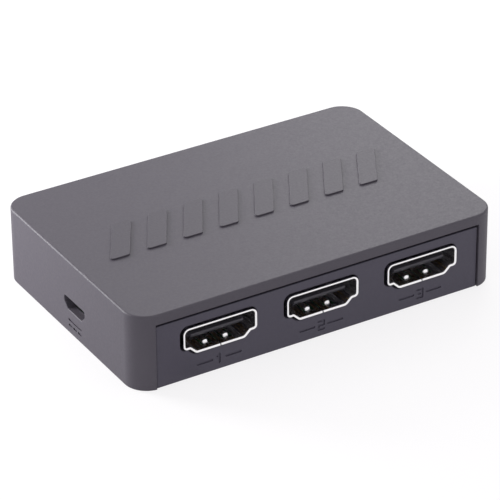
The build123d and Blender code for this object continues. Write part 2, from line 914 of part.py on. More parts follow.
def memory_chips():
    """Three small memory chips."""
    body = chip_body(memory_length, memory_width, memory_height, chip_edge)
    return [Pos(*on_board(share), board_top) * body for share in memory_place_shares]


def memory_chip_pins():
    """The pins of the memory chips."""
    side = pin_row(memory_pin_count, memory_pin_pitch, memory_pin_width, memory_width / 2,
                   chip_seat + memory_height / 2, pin_shoulder, pin_foot)
    return [Pos(*on_board(share), board_top) * Rot(Z=turn) * pin
            for share in memory_place_shares for turn in (0, 180) for pin in side]


def voltage_regulator():
    """The voltage regulator's body."""
    body = chip_body(regulator_length, regulator_width, regulator_height, chip_edge)
    return Pos(*on_board(regulator_place_shares), board_top) * body


def voltage_regulator_pins():
    """The regulator's three pins and its wide tab."""
    high = chip_seat + regulator_height / 2
    pins = pin_row(regulator_pin_count, regulator_pin_pitch, regulator_pin_width, regulator_width / 2,
                   high, pin_shoulder, pin_foot)
    tab = pin_row(1, regulator_pin_pitch, regulator_tab_width, regulator_width / 2,
                  high, pin_shoulder, pin_foot)
    place = Pos(*on_board(regulator_place_shares), board_top)
    return [place * pin for pin in pins] + [place * Rot(Z=180) * pin for pin in tab]


def hot_plug_transistors():
    """Three small transistors."""
    body = chip_body(transistor_length, transistor_width, transistor_height, pin_one_depth)
    return [Pos(*on_board(share), board_top) * body for share in transistor_place_shares]


def hot_plug_transistor_pins():
    """Two pins in front of each transistor and one behind it."""
    def pins(count):
        return pin_row(count, transistor_pin_spread, transistor_pin_width, transistor_width / 2,
                       chip_seat + transistor_height / 2, transistor_shoulder, transistor_foot)
    found = []
    for share in transistor_place_shares:
        place = Pos(*on_board(share), board_top)
        found += [place * Rot(Z=180) * pin for pin in pins(2)] + [place * pin for pin in pins(1)]
    return found


def crystal_outline(step):
    """A flat oval the size of the crystal's can, grown by a step."""
    return SlotOverall(crystal_length + 2 * step, crystal_width + 2 * step)


def clock_crystal():
    """The crystal's drawn metal can."""
    can = extrude(crystal_outline(0), amount=crystal_height - crystal_base_height)
    can = fillet(can.faces().sort_by(Axis.Z)[-1].edges(), crystal_edge)
    return Pos(*on_board(crystal_place_shares), board_top + crystal_base_height) * can


def clock_crystal_base():
    """The crystal's flanged base."""
    foot = extrude(crystal_outline(crystal_base_step), amount=crystal_base_height)
    return Pos(*on_board(crystal_place_shares), board_top) * foot


def bulk_capacitor_can():
    """The bulk capacitor's aluminium can, grooved near its foot."""
    low = bulk_base_height
    can = post(bulk_radius, low, bulk_height)
    can = fillet(can.faces().sort_by(Axis.Z)[-1].edges(), 2 * bulk_groove)
    ring = post(bulk_radius + overrun, low + 2 * bulk_groove, low + 4 * bulk_groove)
    ring -= post(bulk_radius - bulk_groove, low, bulk_height)
    return Pos(*on_board(bulk_place_shares), board_top) * (can - ring)


def bulk_capacitor_base():
    """The moulded foot under the bulk capacitor."""
    half = bulk_base_width / 2
    foot = block(-half, half, -half, half, 0, bulk_base_height)
    corners = foot.edges().filter_by(Axis.Z).sort_by(Axis.X)[-2:]
    return Pos(*on_board(bulk_place_shares), board_top) * chamfer(corners, bulk_base_chamfer)


def surge_arrays():
    """Two surge arrays behind each video socket."""
    y = video_length + contact_foot + surge_gap
    half, wide = surge_length / 2, surge_width / 2
    found = []
    for place in video_locations():
        for x in (-surge_spread, surge_spread):
            found.append(place * block(x - half, x + half, y - wide, y + wide, 0, surge_height))
    return found


def small_places(near_shares, shares):
    """Places on the board: some from shares of the switch chip's reach, the others of the board's."""
    reach = chip_width / 2 + pin_shoulder + pin_foot
    x, y = on_board(chip_place_shares)
    near = [(x + share[0] * reach, y + share[1] * reach) for share in near_shares]
    return [Pos(*place, board_top) for place in near + [on_board(share) for share in shares]]


def chip_middles(places, height):
    """The ceramic middles of small two-ended parts."""
    half = ceramic_length * (1 - 2 * cap_share) / 2
    wide = ceramic_width / 2
    body = block(-half, half, -wide, wide, 0, height)
    return [place * body for place in places]


def chip_ends(places, height):
    """The metal ends of small two-ended parts."""
    inner, outer = ceramic_length * (1 - 2 * cap_share) / 2, ceramic_length / 2
    wide = ceramic_width / 2
    ends = [block(*sorted((side * inner, side * outer)), -wide, wide, 0, height) for side in (-1, 1)]
    return [place * end for place in places for end in ends]


# Every node, by name

def nodes():
    """All the pieces, each with its node's name."""
    ceramic_places = small_places(ceramic_near_chip_shares, ceramic_place_shares)
    resistor_places = small_places(resistor_near_chip_shares, resistor_place_shares)
    made = {
        "top_cover": top_cover(),
        "base": base(),
        "case_screws": case_screws(),
        "circuit_board": circuit_board(),
        "power_socket_shell": power_location() * power_shell(),
        "power_socket_insulator": power_location() * power_insulator(),
        "power_socket_contacts": [power_location() * c for c in power_contacts_list()],
        "select_button": select_button(),
        "switch_plunger": switch_plunger(),
        "switch_dome": switch_dome(),
        "switch_housing": switch_housing(),
        "switch_frame": switch_frame_plate(),
        "switch_terminals": switch_terminals(),
        "light_leads": light_leads(),
        "switch_chip": switch_chip(),
        "switch_chip_pins": switch_chip_pins(),
        "memory_chips": memory_chips(),
        "memory_chip_pins": memory_chip_pins(),
        "voltage_regulator": voltage_regulator(),
        "voltage_regulator_pins": voltage_regulator_pins(),
        "hot_plug_transistors": hot_plug_transistors(),
        "hot_plug_transistor_pins": hot_plug_transistor_pins(),
        "clock_crystal": clock_crystal(),
        "clock_crystal_base": clock_crystal_base(),
        "bulk_capacitor_can": bulk_capacitor_can(),
        "bulk_capacitor_base": bulk_capacitor_base(),
        "surge_arrays": surge_arrays(),
        "ceramic_capacitors": chip_middles(ceramic_places, ceramic_height),
        "ceramic_capacitor_ends": chip_ends(ceramic_places, ceramic_height),
        "chip_resistors": chip_middles(resistor_places, resistor_height),
        "chip_resistor_ends": chip_ends(resistor_places, resistor_height),
    }
    for number, x in enumerate(reversed(light_places), 1):
        made[f"status_light_{number}"] = status_light(x)
    shell, insulator, contacts = video_shell(), video_insulator(), video_contacts()
    names = [f"input_socket_{i}" for i in range(1, video_count + 1)] + ["output_socket"]
    for name, place in zip(names, video_locations()):
        made[f"{name}_shell"] = place * shell
        made[f"{name}_insulator"] = place * insulator
        made[f"{name}_contacts"] = [place * contact for contact in contacts]
    return made


for name, shape in nodes().items():
    solids = [s for item in shape for s in item.solids()] if isinstance(shape, list) else shape.solids()
    export_step(Compound(solids) if len(solids) > 1 else solids[0], f"parts/{name}.step")
    print(name, len(solids))
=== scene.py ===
"""Looks of a small video switch box with three inputs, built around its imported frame.

Every form is drawn in millimetres, X along the input side, Y from the inputs to the output
and Z up, and becomes metres when its piece is finished.
"""

import json
import logging
import math
from dataclasses import dataclass, field
from enum import Enum
from functools import cache
from typing import Any, ClassVar, Iterable, Sequence

import bmesh
import bpy
from mathutils import Matrix, Vector

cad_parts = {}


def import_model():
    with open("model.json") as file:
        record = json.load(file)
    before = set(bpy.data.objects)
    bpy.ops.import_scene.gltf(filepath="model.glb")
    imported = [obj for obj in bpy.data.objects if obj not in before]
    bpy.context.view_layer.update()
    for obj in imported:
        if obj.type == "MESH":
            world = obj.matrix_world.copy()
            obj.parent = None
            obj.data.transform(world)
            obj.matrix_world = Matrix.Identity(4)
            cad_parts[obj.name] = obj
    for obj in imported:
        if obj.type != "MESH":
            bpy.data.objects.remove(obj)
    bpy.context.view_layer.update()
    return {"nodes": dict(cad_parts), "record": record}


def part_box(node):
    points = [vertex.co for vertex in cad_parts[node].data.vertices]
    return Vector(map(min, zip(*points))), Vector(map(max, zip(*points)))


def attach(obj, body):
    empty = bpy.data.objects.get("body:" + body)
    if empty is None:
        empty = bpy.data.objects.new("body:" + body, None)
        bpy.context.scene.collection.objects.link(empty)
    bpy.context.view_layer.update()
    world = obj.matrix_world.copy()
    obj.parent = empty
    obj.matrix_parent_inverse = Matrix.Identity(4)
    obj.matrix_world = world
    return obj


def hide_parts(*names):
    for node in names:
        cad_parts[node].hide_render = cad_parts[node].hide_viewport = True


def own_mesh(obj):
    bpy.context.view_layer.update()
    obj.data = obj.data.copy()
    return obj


log = logging.getLogger("switch_box")

Point = tuple[float, float]
Colour = tuple[float, float, float, float]
Solid = bmesh.types.BMesh
Tree = bpy.types.NodeTree
Output = bpy.types.NodeSocket

MM = 0.001
# How far a cutting solid reaches past what it cuts, in millimetres.
OVERRUN = 1.0
# Edges that bend more than this stay sharp.
SHARP_ANGLE = math.radians(38)
# Points nearer than this, in millimetres, are one point.
MERGE_GAP = 0.0005
# How much each finer layer of a noise pattern adds to the one before it.
LAYER_SHARE = 0.55
# Nearly all of a noise pattern lies between these values.
NOISE_LOW, NOISE_HIGH = 0.3, 0.7

# Turns for a flat drawing, so that its Z points out of the face that it lies on.
HALF_TURN = Matrix.Rotation(math.pi, 4, "Z")
TO_INPUT = Matrix.Rotation(math.pi / 2, 4, "X")
TO_OUTPUT = HALF_TURN @ TO_INPUT
TO_LEFT = Matrix.Rotation(-math.pi / 2, 4, "Z") @ TO_INPUT
TO_RIGHT = Matrix.Rotation(math.pi / 2, 4, "Z") @ TO_INPUT
# Turns a socket so that its mouth faces the left end.
MOUTH_LEFT = Matrix.Rotation(-math.pi / 2, 4, "Z")
# Turns a solid upside down.
UPSIDE_DOWN = Matrix.Rotation(math.pi, 4, "X")
# Lays a round solid down, so that its upper end points to the output side.
LAID_DOWN = Matrix.Rotation(-math.pi / 2, 4, "X")


class Body(Enum):
    """The bodies that a piece can ride on."""

    CASE = "case"
    BUTTON = "button"


class Carving(Enum):
    """How one set of solids changes another."""

    ADD = "UNION"
    CUT = "DIFFERENCE"


class Side(Enum):
    """The long sides of the box, by the direction that each faces along Y."""

    INPUT = -1
    OUTPUT = 1

    @property
    def outwards(self) -> Matrix:
        """Turns a flat drawing so that it faces away from the box on this side."""
        return TO_INPUT if self is Side.INPUT else TO_OUTPUT


# Drawing solids


def arc(radius: float, start: float, end: float, steps: int) -> list[Point]:
    """Points along an arc round zero, between two angles in degrees, both ends included."""
    angles = [math.radians(start + (end - start) * i / steps) for i in range(steps + 1)]
    return [(radius * math.cos(a), radius * math.sin(a)) for a in angles]


def row(count: int, pitch: float) -> list[float]:
    """Places of a row that is centred on zero."""
    return [(i - (count - 1) / 2) * pitch for i in range(count)]


def at(x: float, y: float, z: float) -> Matrix:
    """A plain move."""
    return Matrix.Translation((x, y, z))


def placed(bm: Solid, matrix: Matrix) -> Solid:
    """The same solid, moved by a matrix."""
    bmesh.ops.transform(bm, matrix=matrix, verts=bm.verts)
    return bm


def copied(bm: Solid, matrix: Matrix) -> Solid:
    """A copy of a solid, moved by a matrix."""
    return placed(bm.copy(), matrix)


def join(parts: Iterable[Solid]) -> Solid:
    """Puts several solids into one new bmesh.

    Args:
        parts: the solids, which are freed.

    Returns:
        The new bmesh.
    """
    whole = bmesh.new()
    for part in parts:
        mesh = bpy.data.meshes.new("part")
        part.to_mesh(mesh)
        part.free()
        whole.from_mesh(mesh)
        bpy.data.meshes.remove(mesh)
    return whole


def block(low: Sequence[float], high: Sequence[float]) -> Solid:
    """Draws a plain block.

    Args:
        low: its lowest corner.
        high: its highest corner.

    Returns:
        The block as a new bmesh.
    """
    bm = bmesh.new()
    bmesh.ops.create_cube(bm, size=1)
    bmesh.ops.scale(bm, vec=Vector(high) - Vector(low), verts=bm.verts)
    bmesh.ops.translate(bm, vec=(Vector(high) + Vector(low)) / 2, verts=bm.verts)
    return bm


@dataclass(frozen=True)
class Outline:
    """A closed flat outline with a rounding at each corner.

    Corners run anticlockwise. A radius with a minus sign marks a corner that points inwards.
    """

    corners: tuple[Point, ...]
    radii: tuple[float, ...]
    steps: int = 6
    least_radius: ClassVar[float] = 0.02

    @classmethod
    def rectangle(cls, width: float, height: float, radius: float, steps: int = 6) -> "Outline":
        """A centred rectangle with one radius at all its corners."""
        x, y = width / 2, height / 2
        return cls(((-x, -y), (x, -y), (x, y), (-x, y)), (radius,) * 4, steps)

    @classmethod
    def stroke(cls, start: Point, end: Point, width: float) -> "Outline":
        """A drawn line with round ends.

        Args:
            start: the middle of its first round end.
            end: the middle of its last round end.
            width: how wide it is.

        Returns:
            The line's outline.
        """
        along = (Vector(end) - Vector(start)).normalized() * width / 2
        across = Vector((-along.y, along.x))
        a, b = Vector(start) - along, Vector(end) + along
        corners = (a - across, b - across, b + across, a + across)
        return cls(tuple((c.x, c.y) for c in corners), (width / 2,) * 4, steps=4)

    @classmethod
    def cut_corners(
        cls, size: Point, foot: float, side: float, low: float, rounds: Point, steps: int = 6
    ) -> "Outline":
        """A power socket's form: square at the top, with its lower corners cut off.

        Args:
            size: width and height.
            foot: width of the lower side.
            side: height of the upright part of each end.
            low: height of the lower side.
            rounds: radius of the lower four corners and of the upper two.
            steps: number of straight steps at each corner.

        Returns:
            The outline.
        """
        half, toe, high = size[0] / 2, foot / 2, low + size[1]
        right = ((toe, low), (half, high - side), (half, high))
        left = tuple((-x, y) for x, y in right[::-1])
        below, above = rounds
        return cls(left[-1:] + right + left[:-1], (below, below, below, above, above, below), steps)

    def grown(self, amount: float) -> list[Vector]:
        """Moves every side outwards.

        Args:
            amount: how far, with a minus sign for inwards.

        Returns:
            The moved corners.
        """
        count = len(self.corners)
        points = [Vector(corner) for corner in self.corners]
        moved = []
        for i, point in enumerate(points):
            before = (point - points[i - 1]).normalized()
            after = (points[(i + 1) % count] - point).normalized()
            push = Vector((before.y + after.y, -before.x - after.x))
            moved.append(point + push * amount / (1 + before.dot(after)))
        return moved

    def face(self, bm: Solid, grow: float, height: float) -> bmesh.types.BMFace:
        """Draws the outline as a flat face with rounded corners.

        Args:
            bm: the bmesh that gets the face.
            grow: how far the outline grows.
            height: the face's place along Z.

        Returns:
            The face.
        """
        corners = self.grown(grow)
        before = set(bm.faces)
        verts = [bm.verts.new((c.x, c.y, height)) for c in corners]
        bm.faces.new(verts)
        for i, (vert, radius) in enumerate(zip(verts, self.radii)):
            bend = radius + grow if radius > 0 else -radius - grow
            arriving = (corners[i] - corners[i - 1]).normalized()
            leaving = (corners[(i + 1) % len(corners)] - corners[i]).normalized()
            setback = max(bend, self.least_radius) * math.tan(arriving.angle(leaving) / 2)
            bmesh.ops.bevel(
                bm, geom=[vert], offset=setback, offset_type="OFFSET", segments=self.steps,
                profile=0.5, affect="VERTICES", clamp_overlap=False, material=-1,
            )
        return next(f for f in bm.faces if f not in before)


def loft(outline: Outline, section: Sequence[Point]) -> Solid:
    """A closed solid along Z whose outline grows and shrinks.

    All its rings have the same corners, so they are joined corner to corner: bridging them
    twists the walls.

    Args:
        outline: the flat outline.
        section: growth and height of each ring, from one end of the solid to the other.

    Returns:
        The solid as a new bmesh.
    """
    bm = bmesh.new()
    faces = [outline.face(bm, grow, height) for grow, height in section]
    rings = [list(face.verts) for face in faces]
    bmesh.ops.delete(bm, geom=faces[1:-1], context="FACES_ONLY")
    for low, high in zip(rings, rings[1:]):
        for i in range(len(low)):
            bm.faces.new((low[i - 1], low[i], high[i], high[i - 1]))
    bmesh.ops.recalc_face_normals(bm, faces=bm.faces)
    return bm


def prism(outline: Outline, low: float, high: float, grow: float = 0.0) -> Solid:
    """A solid along Z with straight walls."""
    return loft(outline, [(grow, low), (grow, high)])


def turned(profile: Sequence[Point], steps: int = 32) -> Solid:
    """A solid of revolution round Z.

    Args:
        profile: radius and height of each point, both ends on the axis.
        steps: number of straight steps in a full turn.

    Returns:
        The solid as a new bmesh.
    """
    bm = bmesh.new()
    verts = [bm.verts.new((radius, 0, height)) for radius, height in profile]
    edges = [bm.edges.new(pair) for pair in zip(verts, verts[1:])]
    bmesh.ops.spin(
        bm, geom=verts + edges, cent=(0, 0, 0), axis=(0, 0, 1), angle=2 * math.pi,
        steps=steps, use_merge=True,
    )
    bmesh.ops.remove_doubles(bm, verts=bm.verts, dist=MERGE_GAP)
    bmesh.ops.recalc_face_normals(bm, faces=bm.faces)
    return bm


def rod(radius: float, low: float, high: float) -> Solid:
    """A round rod along Z."""
    return turned([(0, low), (radius, low), (radius, high), (0, high)])


def as_object(bm: Solid, name: str) -> bpy.types.Object:
    """Puts a solid in the scene as an object at the origin.

    Args:
        bm: the solid, which is freed.
        name: the name of the object and of its mesh.

    Returns:
        The object.
    """
    mesh = bpy.data.meshes.new(name)
    bm.to_mesh(mesh)
    bm.free()
    thing = bpy.data.objects.new(name, mesh)
    bpy.context.scene.collection.objects.link(thing)
    return thing


def carved(bm: Solid, tools: Sequence[Solid], how: Carving) -> Solid:
    """Adds solids to another solid, or cuts them out of it, one after the other.

    Args:
        bm: the solid, which is freed.
        tools: the solids that change it, which are freed.
        how: whether they are added or cut.

    Returns:
        The result as a new bmesh.
    """
    for tool in tools:
        body, helper = as_object(bm, "carved"), as_object(tool, "tool")
        change = body.modifiers.new("carving", "BOOLEAN")
        change.operation, change.solver, change.object = how.value, "MANIFOLD", helper
        bm = bmesh.new()
        bm.from_object(body, bpy.context.evaluated_depsgraph_get())
        for thing in (body, helper):
            mesh = thing.data
            bpy.data.objects.remove(thing)
            bpy.data.meshes.remove(mesh)
    bmesh.ops.remove_doubles(bm, verts=bm.verts, dist=MERGE_GAP)
    return bm


# Finishes


def linear(code: str) -> Colour:
    """Turns an sRGB colour into a linear one.

    Args:
        code: a hex code such as #80FF00.

    Returns:
        Red, green, blue and alpha.
    """
    parts = [int(code[i : i + 2], 16) / 255 for i in (1, 3, 5)]
    red, green, blue = (
        part / 12.92 if part <= 0.04045 else ((part + 0.055) / 1.055) ** 2.4 for part in parts
    )
    return red, green, blue, 1.0


def per_mm(size: float) -> float:
    """The scale at which a pattern's patches measure a size in millimetres."""
    return 1 / (size * MM)


def add_node(
    tree: Tree, kind: str, inputs: dict[str | int, Any] | None = None, **settings: Any
) -> bpy.types.Node:
    """Adds a node with its settings, values and links.

    Args:
        tree: the node tree.
        kind: the node's type name.
        inputs: a value or another node's output for each input socket.
        settings: attributes of the node.

    Returns:
        The new node.
    """
    node = tree.nodes.new(kind)
    for name, value in settings.items():
        setattr(node, name, value)
    for name, value in (inputs or {}).items():
        if isinstance(value, bpy.types.NodeSocket):
            tree.links.new(value, node.inputs[name])
        else:
            node.inputs[name].default_value = value
    return node


def new_tree(name: str) -> tuple[bpy.types.Material, Tree]:
    """Makes a material with an empty node tree.

    Args:
        name: the material's name.

    Returns:
        The material and its tree.
    """
    material = bpy.data.materials.new(name)
    material.use_nodes = True
    material.node_tree.nodes.clear()
    return material, material.node_tree


@dataclass(frozen=True)
class Finish:
    """A surface finish that makes its material once.

    One pattern mixes two colours, one varies the roughness round its middle value, and one
    stands for relief, whose depth is in millimetres.
    """

    name: str
    slot: str
    colour: str
    second_colour: str
    roughness: float
    smoother: float = 0.05
    rougher: float = 0.05
    depth: float = 0.0

    def patterns(self, tree: Tree, place: Output) -> tuple[Output, Output, Output]:
        """The patterns of the colour, the roughness and the relief."""
        raise NotImplementedError

    def constants(self) -> dict[str, float]:
        """The shader's values that are the same all over the surface."""
        raise NotImplementedError

    def mixed_colour(self, tree: Tree, place: Output, pattern: Output) -> Output:
        """The two colours, mixed by a pattern."""
        inputs = {"Factor": pattern, 6: linear(self.colour), 7: linear(self.second_colour)}
        return add_node(tree, "ShaderNodeMix", inputs, data_type="RGBA").outputs[2]

    @cache
    def material(self) -> bpy.types.Material:
        """Builds the finish's material when it is first asked for, and keeps it.

        Returns:
            The material.
        """
        material, tree = new_tree(self.name)
        place = add_node(tree, "ShaderNodeTexCoord").outputs["Object"]
        tint, gloss, relief = self.patterns(tree, place)
        low, high = self.roughness - self.smoother, self.roughness + self.rougher
        roughness = add_node(
            tree, "ShaderNodeMapRange",
            {
                "Value": gloss, "From Min": NOISE_LOW, "From Max": NOISE_HIGH,
                "To Min": low, "To Max": high,
            },
        )
        inputs = {
            "Base Color": self.mixed_colour(tree, place, tint),
            "Roughness": roughness.outputs["Result"],
        }
        if self.depth:
            bump = add_node(
                tree, "ShaderNodeBump", {"Strength": 1.0, "Distance": self.depth * MM, "Height": relief}
            )
            inputs["Normal"] = bump.outputs["Normal"]
        shader = add_node(tree, "ShaderNodeBsdfPrincipled", inputs | self.constants())
        add_node(tree, "ShaderNodeOutputMaterial", {"Surface": shader.outputs[0]})
        return material


@dataclass(frozen=True)
class MouldedPlastic(Finish):
    """Injection-moulded polymer: an even colour under a fine texture from the mould."""

    depth: float = 0.012
    grain: float = 0.45
    cloud: float = 9.0
    gloss: float = 0.5

    def patterns(self, tree: Tree, place: Output) -> tuple[Output, Output, Output]:
        """Slow clouds in the colour, and a fine sparked texture.

        Args:
            tree: the material's node tree.
            place: the place on the object.

        Returns:
            The patterns of the colour, the roughness and the relief.
        """
        cloud = add_node(
            tree, "ShaderNodeTexNoise",
            {"Vector": place, "Scale": per_mm(self.cloud), "Detail": 2.0, "Roughness": LAYER_SHARE},
        )
        grain = add_node(
            tree, "ShaderNodeTexNoise",
            {"Vector": place, "Scale": per_mm(self.grain), "Detail": 4.0, "Roughness": LAYER_SHARE},
        )
        return cloud.outputs["Fac"], grain.outputs["Fac"], grain.outputs["Fac"]

    def constants(self) -> dict[str, float]:
        """A soft sheen at a styrene polymer's index."""
        return {"Specular IOR Level": self.gloss, "IOR": 1.53}


@dataclass(frozen=True)
class SteppedPlastic(MouldedPlastic):
    """Moulded polymer whose raised areas are drawn a shade darker."""

    step: float = 0.0
    raised_share: float = 0.91

    def mixed_colour(self, tree: Tree, place: Output, pattern: Output) -> Output:
        """Mixes the two colours, and darkens them above one height.

        Args:
            tree: the material's node tree.
            place: the place on the object.
            pattern: what mixes them.

        Returns:
            The colour.
        """
        plain = super().mixed_colour(tree, place, pattern)
        height = add_node(tree, "ShaderNodeSeparateXYZ", {"Vector": place}).outputs["Z"]
        raised = add_node(
            tree, "ShaderNodeMath", {0: height, 1: self.step * MM}, operation="GREATER_THAN"
        )
        inputs = {"Factor": raised.outputs[0], 6: plain, 7: (self.raised_share,) * 3 + (1.0,)}
        return add_node(tree, "ShaderNodeMix", inputs, data_type="RGBA", blend_type="MULTIPLY").outputs[2]


@dataclass(frozen=True)
class PlatedMetal(Finish):
    """Plated sheet metal: bright, with faint lines from rolling and forming."""

    smoother: float = 0.06
    rougher: float = 0.08
    depth: float = 0.002
    line: float = 0.12
    stretch: float = 0.06
    stain: float = 2.5

    def patterns(self, tree: Tree, place: Output) -> tuple[Output, Output, Output]:
        """Faint stains in the colour, and fine drawn lines.

        Args:
            tree: the material's node tree.
            place: the place on the object.

        Returns:
            The patterns of the colour, the roughness and the relief.
        """
        drawn = add_node(
            tree, "ShaderNodeMapping", {"Vector": place, "Scale": (1.0, self.stretch, 1.0)},
            vector_type="POINT",
        ).outputs["Vector"]
        lines = add_node(
            tree, "ShaderNodeTexNoise",
            {"Vector": drawn, "Scale": per_mm(self.line), "Detail": 3.0, "Roughness": LAYER_SHARE},
        )
        stain = add_node(
            tree, "ShaderNodeTexNoise",
            {"Vector": place, "Scale": per_mm(self.stain), "Detail": 3.0, "Roughness": LAYER_SHARE},
        )
        return stain.outputs["Fac"], lines.outputs["Fac"], lines.outputs["Fac"]

    def constants(self) -> dict[str, float]:
        """Bare metal."""
        return {"Metallic": 1.0}


@dataclass(frozen=True)
class MaskedLaminate(Finish):
    """Glass-fibre board under solder mask, with raised tracks beneath the lacquer."""

    depth: float = 0.035
    track: float = 1.6
    ripple: float = 0.4

    def patterns(self, tree: Tree, place: Output) -> tuple[Output, Output, Output]:
        """Lighter tracks in straight lanes, under a glossy lacquer with slight ripples.

        Args:
            tree: the material's node tree.
            place: the place on the object.

        Returns:
            The patterns of the colour, the roughness and the relief.
        """
        lanes = add_node(
            tree, "ShaderNodeTexBrick",
            {
                "Vector": place, "Scale": per_mm(self.track), "Mortar Size": 0.035,
                "Brick Width": 2.4, "Row Height": 0.5,
            },
            offset=0.5, squash=0.7,
        ).outputs["Fac"]
        ripple = add_node(
            tree, "ShaderNodeTexNoise",
            {"Vector": place, "Scale": per_mm(self.ripple), "Detail": 2.0, "Roughness": LAYER_SHARE},
        )
        return lanes, ripple.outputs["Fac"], lanes

    def constants(self) -> dict[str, float]:
        """An epoxy lacquer's index."""
        return {"IOR": 1.5}


@dataclass(frozen=True)
class CastEpoxy(Finish):
    """Diffused clear epoxy: light passes into it and scatters under a glossy cast skin."""

    smoother: float = 0.04
    rougher: float = 0.04
    cloud: float = 0.8
    scatter: float = 0.8

    def patterns(self, tree: Tree, place: Output) -> tuple[Output, Output, Output]:
        """Faint milky clouds.

        Args:
            tree: the material's node tree.
            place: the place on the object.

        Returns:
            The patterns of the colour, the roughness and the relief.
        """
        cloud = add_node(
            tree, "ShaderNodeTexNoise",
            {"Vector": place, "Scale": per_mm(self.cloud), "Detail": 2.0, "Roughness": LAYER_SHARE},
        ).outputs["Fac"]
        return cloud, cloud, cloud

    def constants(self) -> dict[str, float]:
        """Lets a little light through, and scatters a little inside.

        Returns:
            Each value by its socket's name.
        """
        return {
            "IOR": 1.52, "Transmission Weight": 0.15, "Subsurface Weight": 0.2,
            "Subsurface Scale": self.scatter * MM,
        }


# The moulds' sparked textures, the fillers' grains and the rolling lines of the metals are all finer
# than a tenth of a millimetre. They are drawn as coarse as they need to show.

# Sparked ABS looks even and matte, in a slightly violet grey-black. The cover's raised bars, above
# 15.1 mm, are a shade darker.
COVER_ABS = SteppedPlastic(
    "moulded_black_abs_cover", "cover_abs", "#48444D", "#45414A", 0.55, gloss=0.35, step=15.1
)
BASE_ABS = MouldedPlastic("moulded_black_abs_base", "base_abs", "#45414E", "#423F4B", 0.55, gloss=0.35)
# A smoother mould leaves the button satin, so it catches a soft light.
BUTTON_ABS = MouldedPlastic(
    "satin_black_abs_button", "button_abs", "#3A393D", "#363539", 0.3, grain=0.3, depth=0.004
)
# Glass-filled polyamide keeps a faint mottle from the fibres. Its dull black is drawn as a lighter grey:
# painted light for the dim inside of the sockets.
SOCKET_POLYMER = MouldedPlastic(
    "glass_filled_black_polyamide", "socket_polymer", "#3E3C43", "#39373D", 0.4,
    grain=0.25, depth=0.006, cloud=1.2, gloss=0.3,
)
# The switch's polymer is a plain black with a low shine.
SWITCH_POLYMER = MouldedPlastic(
    "moulded_black_switch_polymer", "moulded_polymer", "#1C1B1E", "#222124", 0.45,
    grain=0.25, depth=0.005, cloud=1.2,
)
# Chip epoxy holds ground silica, which makes it a dull, grainy black.
CHIP_EPOXY = MouldedPlastic(
    "transfer_moulded_chip_epoxy", "chip_epoxy", "#19191B", "#202022", 0.6, grain=0.12, depth=0.01, cloud=0.9
)
# Fired ceramic is an even tan with a faint shine.
FIRED_CERAMIC = MouldedPlastic(
    "fired_tan_capacitor_ceramic", "capacitor_ceramic", "#8A6A48", "#7C5E40", 0.42,
    grain=0.1, depth=0.004, cloud=0.5,
)
# A glass glaze over the resistors is black and glossy.
RESISTOR_GLAZE = MouldedPlastic(
    "black_resistor_glaze", "resistor_glaze", "#151517", "#1E1E21", 0.22,
    grain=0.15, depth=0.004, cloud=0.4, gloss=0.6,
)
# Nickel is drawn almost white, brighter than the bare metal: painted highlight for the studio's white that
# the bright plating mirrors.
NICKEL_PLATE = PlatedMetal("nickel_plated_sheet_steel", "socket_steel", "#F8F7F8", "#ECEBEC", 0.2)
# A thin flash of gold gives the contacts a warm, soft shine.
GOLD_FLASH = PlatedMetal("gold_flashed_phosphor_bronze", "contact_plating", "#DDB66A", "#CDA256", 0.24)
# Tin is greyer and duller than nickel.
TIN_PLATE = PlatedMetal("matte_tinned_leads", "tinned_metal", "#BDBDBF", "#A9A9AC", 0.38)
# Thin tinned steel sheet is brighter than the leads, and a little warmer.
THIN_STEEL = PlatedMetal("tinned_sheet_steel", "thin_steel", "#BFBEBD", "#ADACAB", 0.3)
# Drawn aluminium is pale, with a satin sheen.
SPUN_ALUMINIUM = PlatedMetal("drawn_satin_aluminium", "capacitor_aluminium", "#C9CACC", "#BBBCBE", 0.32)
# Black nickel leaves the screws a dark metal with a soft shine.
BLACK_NICKEL = PlatedMetal("black_nickel_screw_steel", "screw_steel", "#5E5C60", "#4C4A4E", 0.34)
# Solder mask is a glossy dark green that is lighter over the copper.
SOLDER_MASK = MaskedLaminate("green_solder_mask_laminate", "board_laminate", "#1E4A2C", "#2F6A3F", 0.31)
# Diffused epoxy looks milky and pale when it is unlit.
LIGHT_EPOXY = CastEpoxy("diffused_clear_cast_epoxy", "light_epoxy", "#A6ADB1", "#989FA4", 0.16)

FINISHES: tuple[Finish, ...] = (
    COVER_ABS, BASE_ABS, BUTTON_ABS, SOCKET_POLYMER, SWITCH_POLYMER, CHIP_EPOXY, FIRED_CERAMIC,
    RESISTOR_GLAZE, NICKEL_PLATE, GOLD_FLASH, TIN_PLATE, THIN_STEEL, SPUN_ALUMINIUM, BLACK_NICKEL,
    SOLDER_MASK, LIGHT_EPOXY,
)


# Pieces


def finish_piece(
    name: str, bm: Solid, finish: Finish, node: str, body: Body = Body.CASE
) -> bpy.types.Object:
    """Turns a drawn solid into a piece of the object.

    Args:
        name: the piece's name.
        bm: the solid in millimetres, which is freed.
        finish: what it is made of.
        node: the frame's node that it replaces.
        body: the body that it rides on.

    Returns:
        The finished object.
    """
    bmesh.ops.remove_doubles(bm, verts=bm.verts, dist=MERGE_GAP)
    bmesh.ops.dissolve_degenerate(bm, edges=bm.edges, dist=MERGE_GAP)
    bmesh.ops.scale(bm, vec=(MM,) * 3, verts=bm.verts)
    for face in bm.faces:
        face.smooth = True
    for edge in bm.edges:
        edge.smooth = not edge.is_manifold or edge.calc_face_angle(0.0) < SHARP_ANGLE
    piece = as_object(bm, name)
    piece.data.materials.append(finish.material())
    piece.modifiers.new("even_shading", "WEIGHTED_NORMAL").keep_sharp = True
    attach(piece, body.value)
    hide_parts(node)
    log.info("made %s: %d faces", name, len(piece.data.polygons))
    return piece


